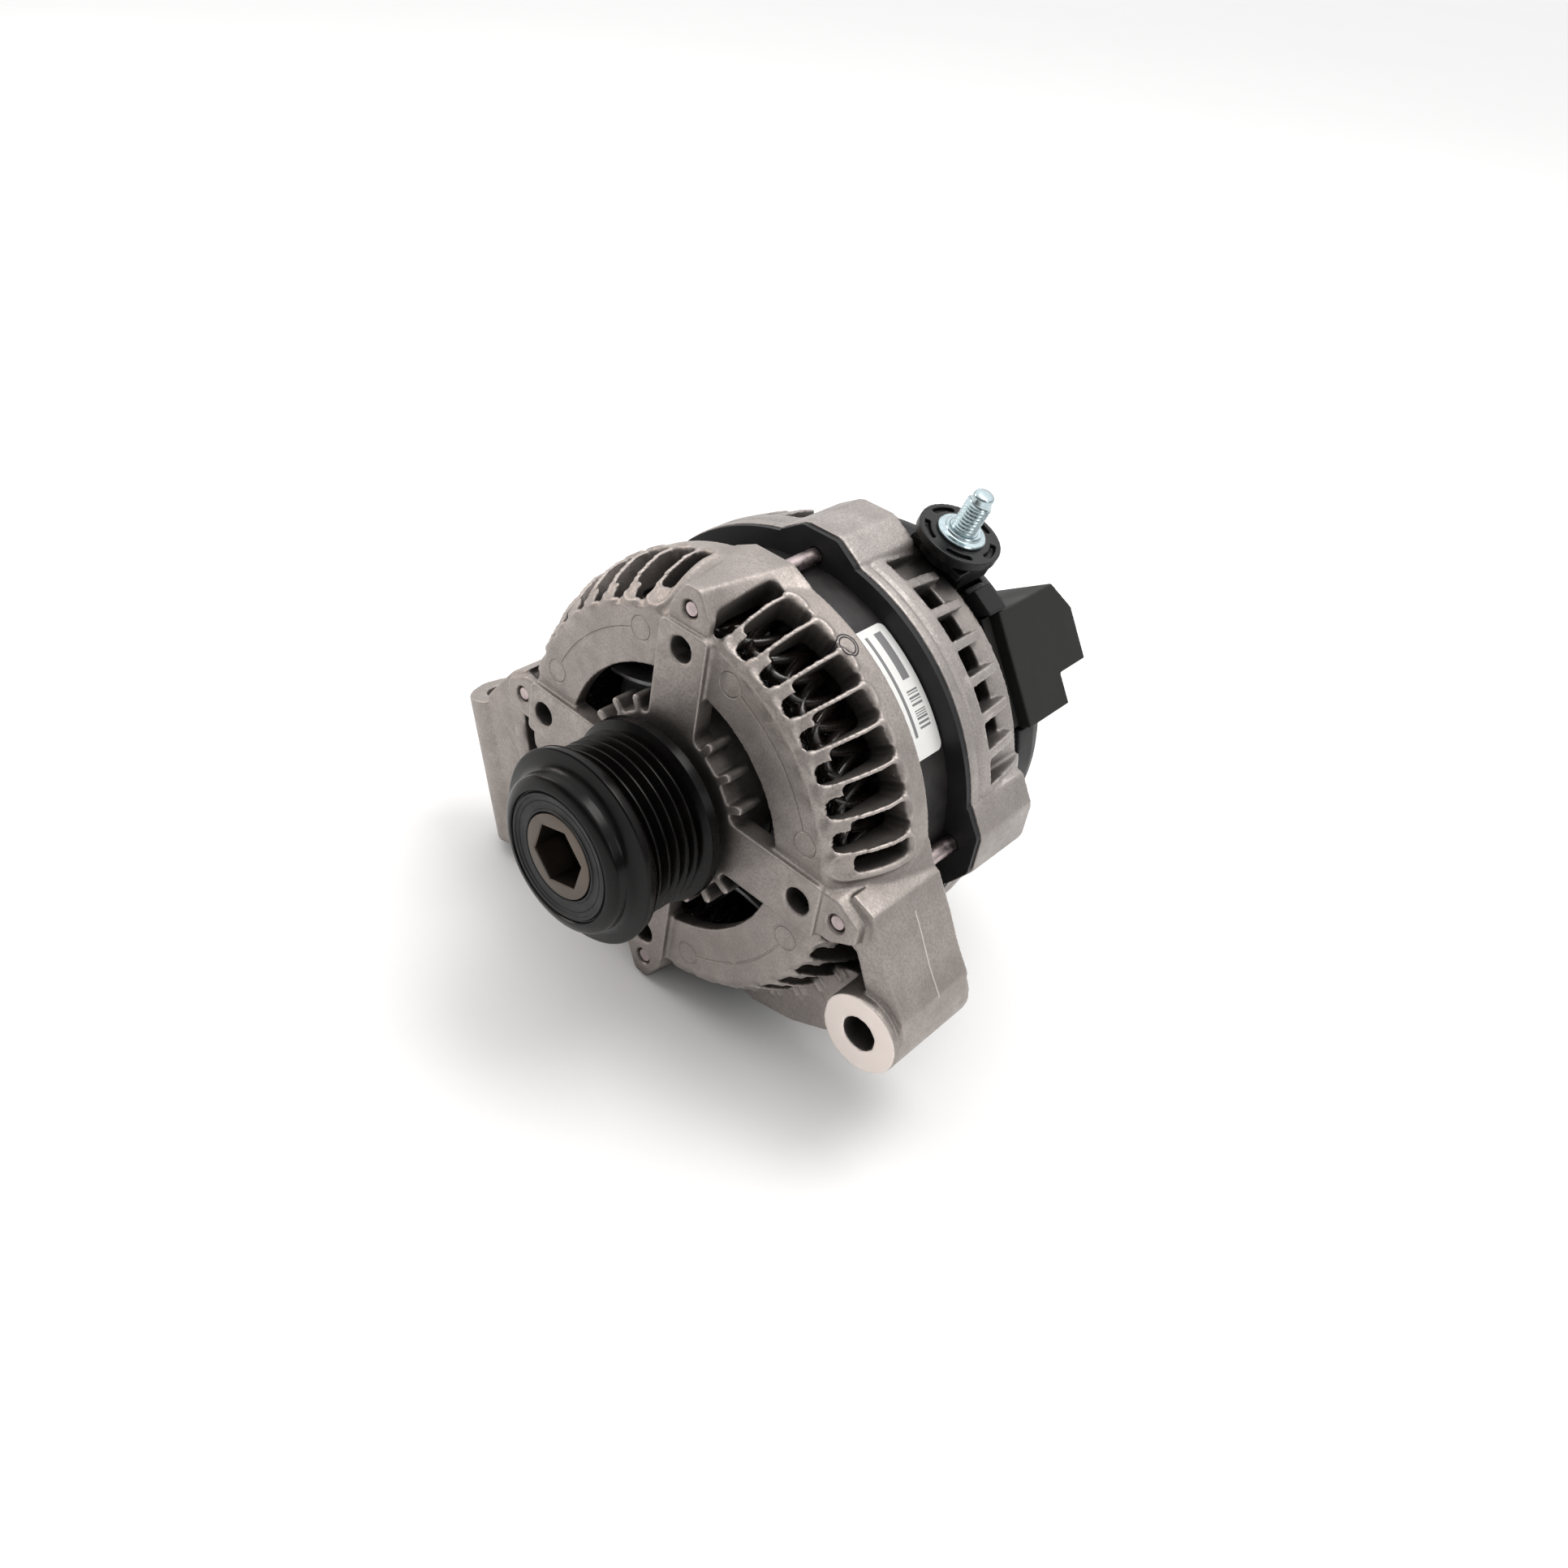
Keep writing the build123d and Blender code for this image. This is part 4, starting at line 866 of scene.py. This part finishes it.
def coil_loops():
    """Two rings of hairpin loops at each end of the core, in two layers that cross. The inner
    layer is a millimetre lower."""
    paths = []
    step = 360 / CORE_SLOTS
    for foot_y, tip_y in LOOP_ENDS:
        inner_tip_y = tip_y + (1 if tip_y < foot_y else -1)
        for k in range(CORE_SLOTS):
            paths.append(hairpin(k * step, LOOP_SPAN, 55.7, foot_y, tip_y, -0.6))
            paths.append(hairpin((k + 0.5) * step, -LOOP_SPAN, 51.0, foot_y, inner_tip_y, 0.6))
    return paths


def slot_bars():
    """Straight bars of the winding inside the core's slots."""
    step = 360 / CORE_SLOTS
    paths = []
    for k in range(CORE_SLOTS):
        a = math.radians(k * step)
        for r in (50.6, 54.6):
            paths.append([(r * math.cos(a), y, r * math.sin(a)) for y in (26.5, 43.5, 60.5)])
    return paths


new_object("winding_loops", sweep(coil_loops(), 1.75, 2.1), MATS["winding"], "housing",
           ("stator_winding",), 60)
new_object("winding_bars", sweep(slot_bars(), 1.1, 1.9), MATS["winding"], "housing",
           (), 60)


# ---------------------------------------------------------------- finishes of the CAD nodes

FINISH = {
    "stator_core": "core", "stator_seal_ring": "ring",
    "through_bolts": "bolt", "field_coil": "field", "shaft": "steel",
    "front_pole": "pole", "rear_pole": "pole", "coil_bobbin": "plastic", "front_fan": "fan",
    "rear_fan": "fan", "slip_ring_front": "ring_copper", "slip_ring_rear": "ring_copper",
    "slip_ring_sleeve": "plastic", "spacer_collar": "steel", "clutch_rollers": "steel",
    "front_bearing_outer_race": "steel", "front_bearing_inner_race": "steel",
    "front_bearing_balls": "steel", "front_bearing_cage": "cage", "front_bearing_retainer": "steel",
    "retainer_screws": "bolt", "rear_bearing_outer_race": "steel",
    "rear_bearing_inner_race": "steel", "rear_bearing_balls": "steel",
    "rear_bearing_cage": "cage", "rear_bearing_sleeve": "plastic",
    "negative_heat_sink": "sink", "positive_heat_sink": "sink", "negative_diodes": "diode",
    "positive_diodes": "diode", "sink_spacers": "zinc", "terminal_block": "plastic",
    "stator_leads": "copper", "bus_bar": "copper", "cover_studs": "zinc", "cover_nuts": "zinc",
    "brush_front": "carbon", "brush_rear": "carbon", "brush_spring_front": "zinc",
    "brush_spring_rear": "zinc", "brush_holder": "plastic", "brush_cap": "plastic",
    "voltage_regulator": "plastic_grey", "connector_terminals": "copper",
}
for node, key in FINISH.items():
    obj = NODES[node]
    obj.data.materials.clear()
    obj.data.materials.append(MATS[key])


# ---------------------------------------------------------------- stage, light and camera

FLOOR_HALF = 6.0
FLOOR_GAP = 0.0003
BRIGHT_SIDE = (-0.2, 0.33, 0.92)


def area_light(name, place, target, size, power, colour):
    """Square soft light at a place, turned towards its target."""
    data = bpy.data.lights.new(name, "AREA")
    data.energy = power
    data.color = colour
    data.shape = "SQUARE"
    data.size = size
    obj = bpy.data.objects.new(name, data)
    bpy.context.scene.collection.objects.link(obj)
    obj.location = place
    obj.rotation_mode = "QUATERNION"
    obj.rotation_quaternion = (Vector(target) - Vector(place)).to_track_quat("-Z", "Y")


def make_floor(z):
    """Large pale sheet under the object."""
    corners = [(FLOOR_HALF * x, FLOOR_HALF * y, z) for x, y in ((-1, -1), (1, -1), (1, 1), (-1, 1))]
    mesh = bpy.data.meshes.new("floor")
    mesh.from_pydata(corners, [], [(0, 1, 2, 3)])
    floor = bpy.data.objects.new("floor", mesh)
    bpy.context.scene.collection.objects.link(floor)
    g = Graph("floor_paper")
    tone = g.noise(3, 2.0)
    mesh.materials.append(g.finish(g.mix(tone, (0.84, 0.84, 0.84), (0.86, 0.86, 0.86)), 0.85, 0.0))


def make_world(scene):
    """Soft studio surround: bright above and behind, dim in front of the pulley."""
    world = bpy.data.worlds.new("studio")
    scene.world = world
    world.use_nodes = True
    nodes, links = world.node_tree.nodes, world.node_tree.links
    where = nodes.new("ShaderNodeTexCoord")
    side = nodes.new("ShaderNodeVectorMath")
    side.operation = "DOT_PRODUCT"
    side.inputs[1].default_value = BRIGHT_SIDE
    nodes["Background"].inputs["Color"].default_value = (1.0, 1.0, 1.0, 1.0)
    level = nodes.new("ShaderNodeMapRange")
    level.interpolation_type = "SMOOTHSTEP"
    for key, value in (("From Min", -0.05), ("From Max", 0.9), ("To Min", 0.15), ("To Max", 1.4)):
        level.inputs[key].default_value = value
    links.new(where.outputs["Generated"], side.inputs[0])
    links.new(side.outputs["Value"], level.inputs["Value"])
    links.new(level.outputs["Result"], nodes["Background"].inputs["Strength"])


make_floor(cad_box[0].z - FLOOR_GAP)

scene = bpy.context.scene
make_world(scene)
area_light("key", (0.3, 0.5, 1.5), (0.02, 0.03, 0), 0.8, 11, (1.0, 0.98, 0.96))
area_light("side", (1.4, 0.1, 0.7), (0.03, 0.03, 0), 0.5, 2.5, (1.0, 0.98, 0.97))
area_light("front", (-1.3, -0.35, 0.6), (0, 0, 0), 0.6, 5, (1.0, 0.9, 0.83))

camera_data = bpy.data.cameras.new("camera")
camera = bpy.data.objects.new("camera", camera_data)
scene.collection.objects.link(camera)
camera_data.sensor_width = 36.0
camera_data.lens = 30.91
camera_data.shift_x = 0.1
camera_data.shift_y = -0.0952
camera_data.clip_start = 0.01
# The camera's own right, up and backward directions.
RIGHT = Vector((0.68363, 0.72423, 0.09023))
UP = Vector((-0.44324, 0.31379, 0.83969))
BACK = Vector((0.57981, -0.61403, 0.53553))
turn = Matrix((RIGHT, UP, BACK)).transposed()
camera.matrix_world = Matrix.Translation((0.1998, -0.2352, 0.2502)) @ turn.to_4x4()
scene.camera = camera
scene.view_settings.view_transform = "Standard"
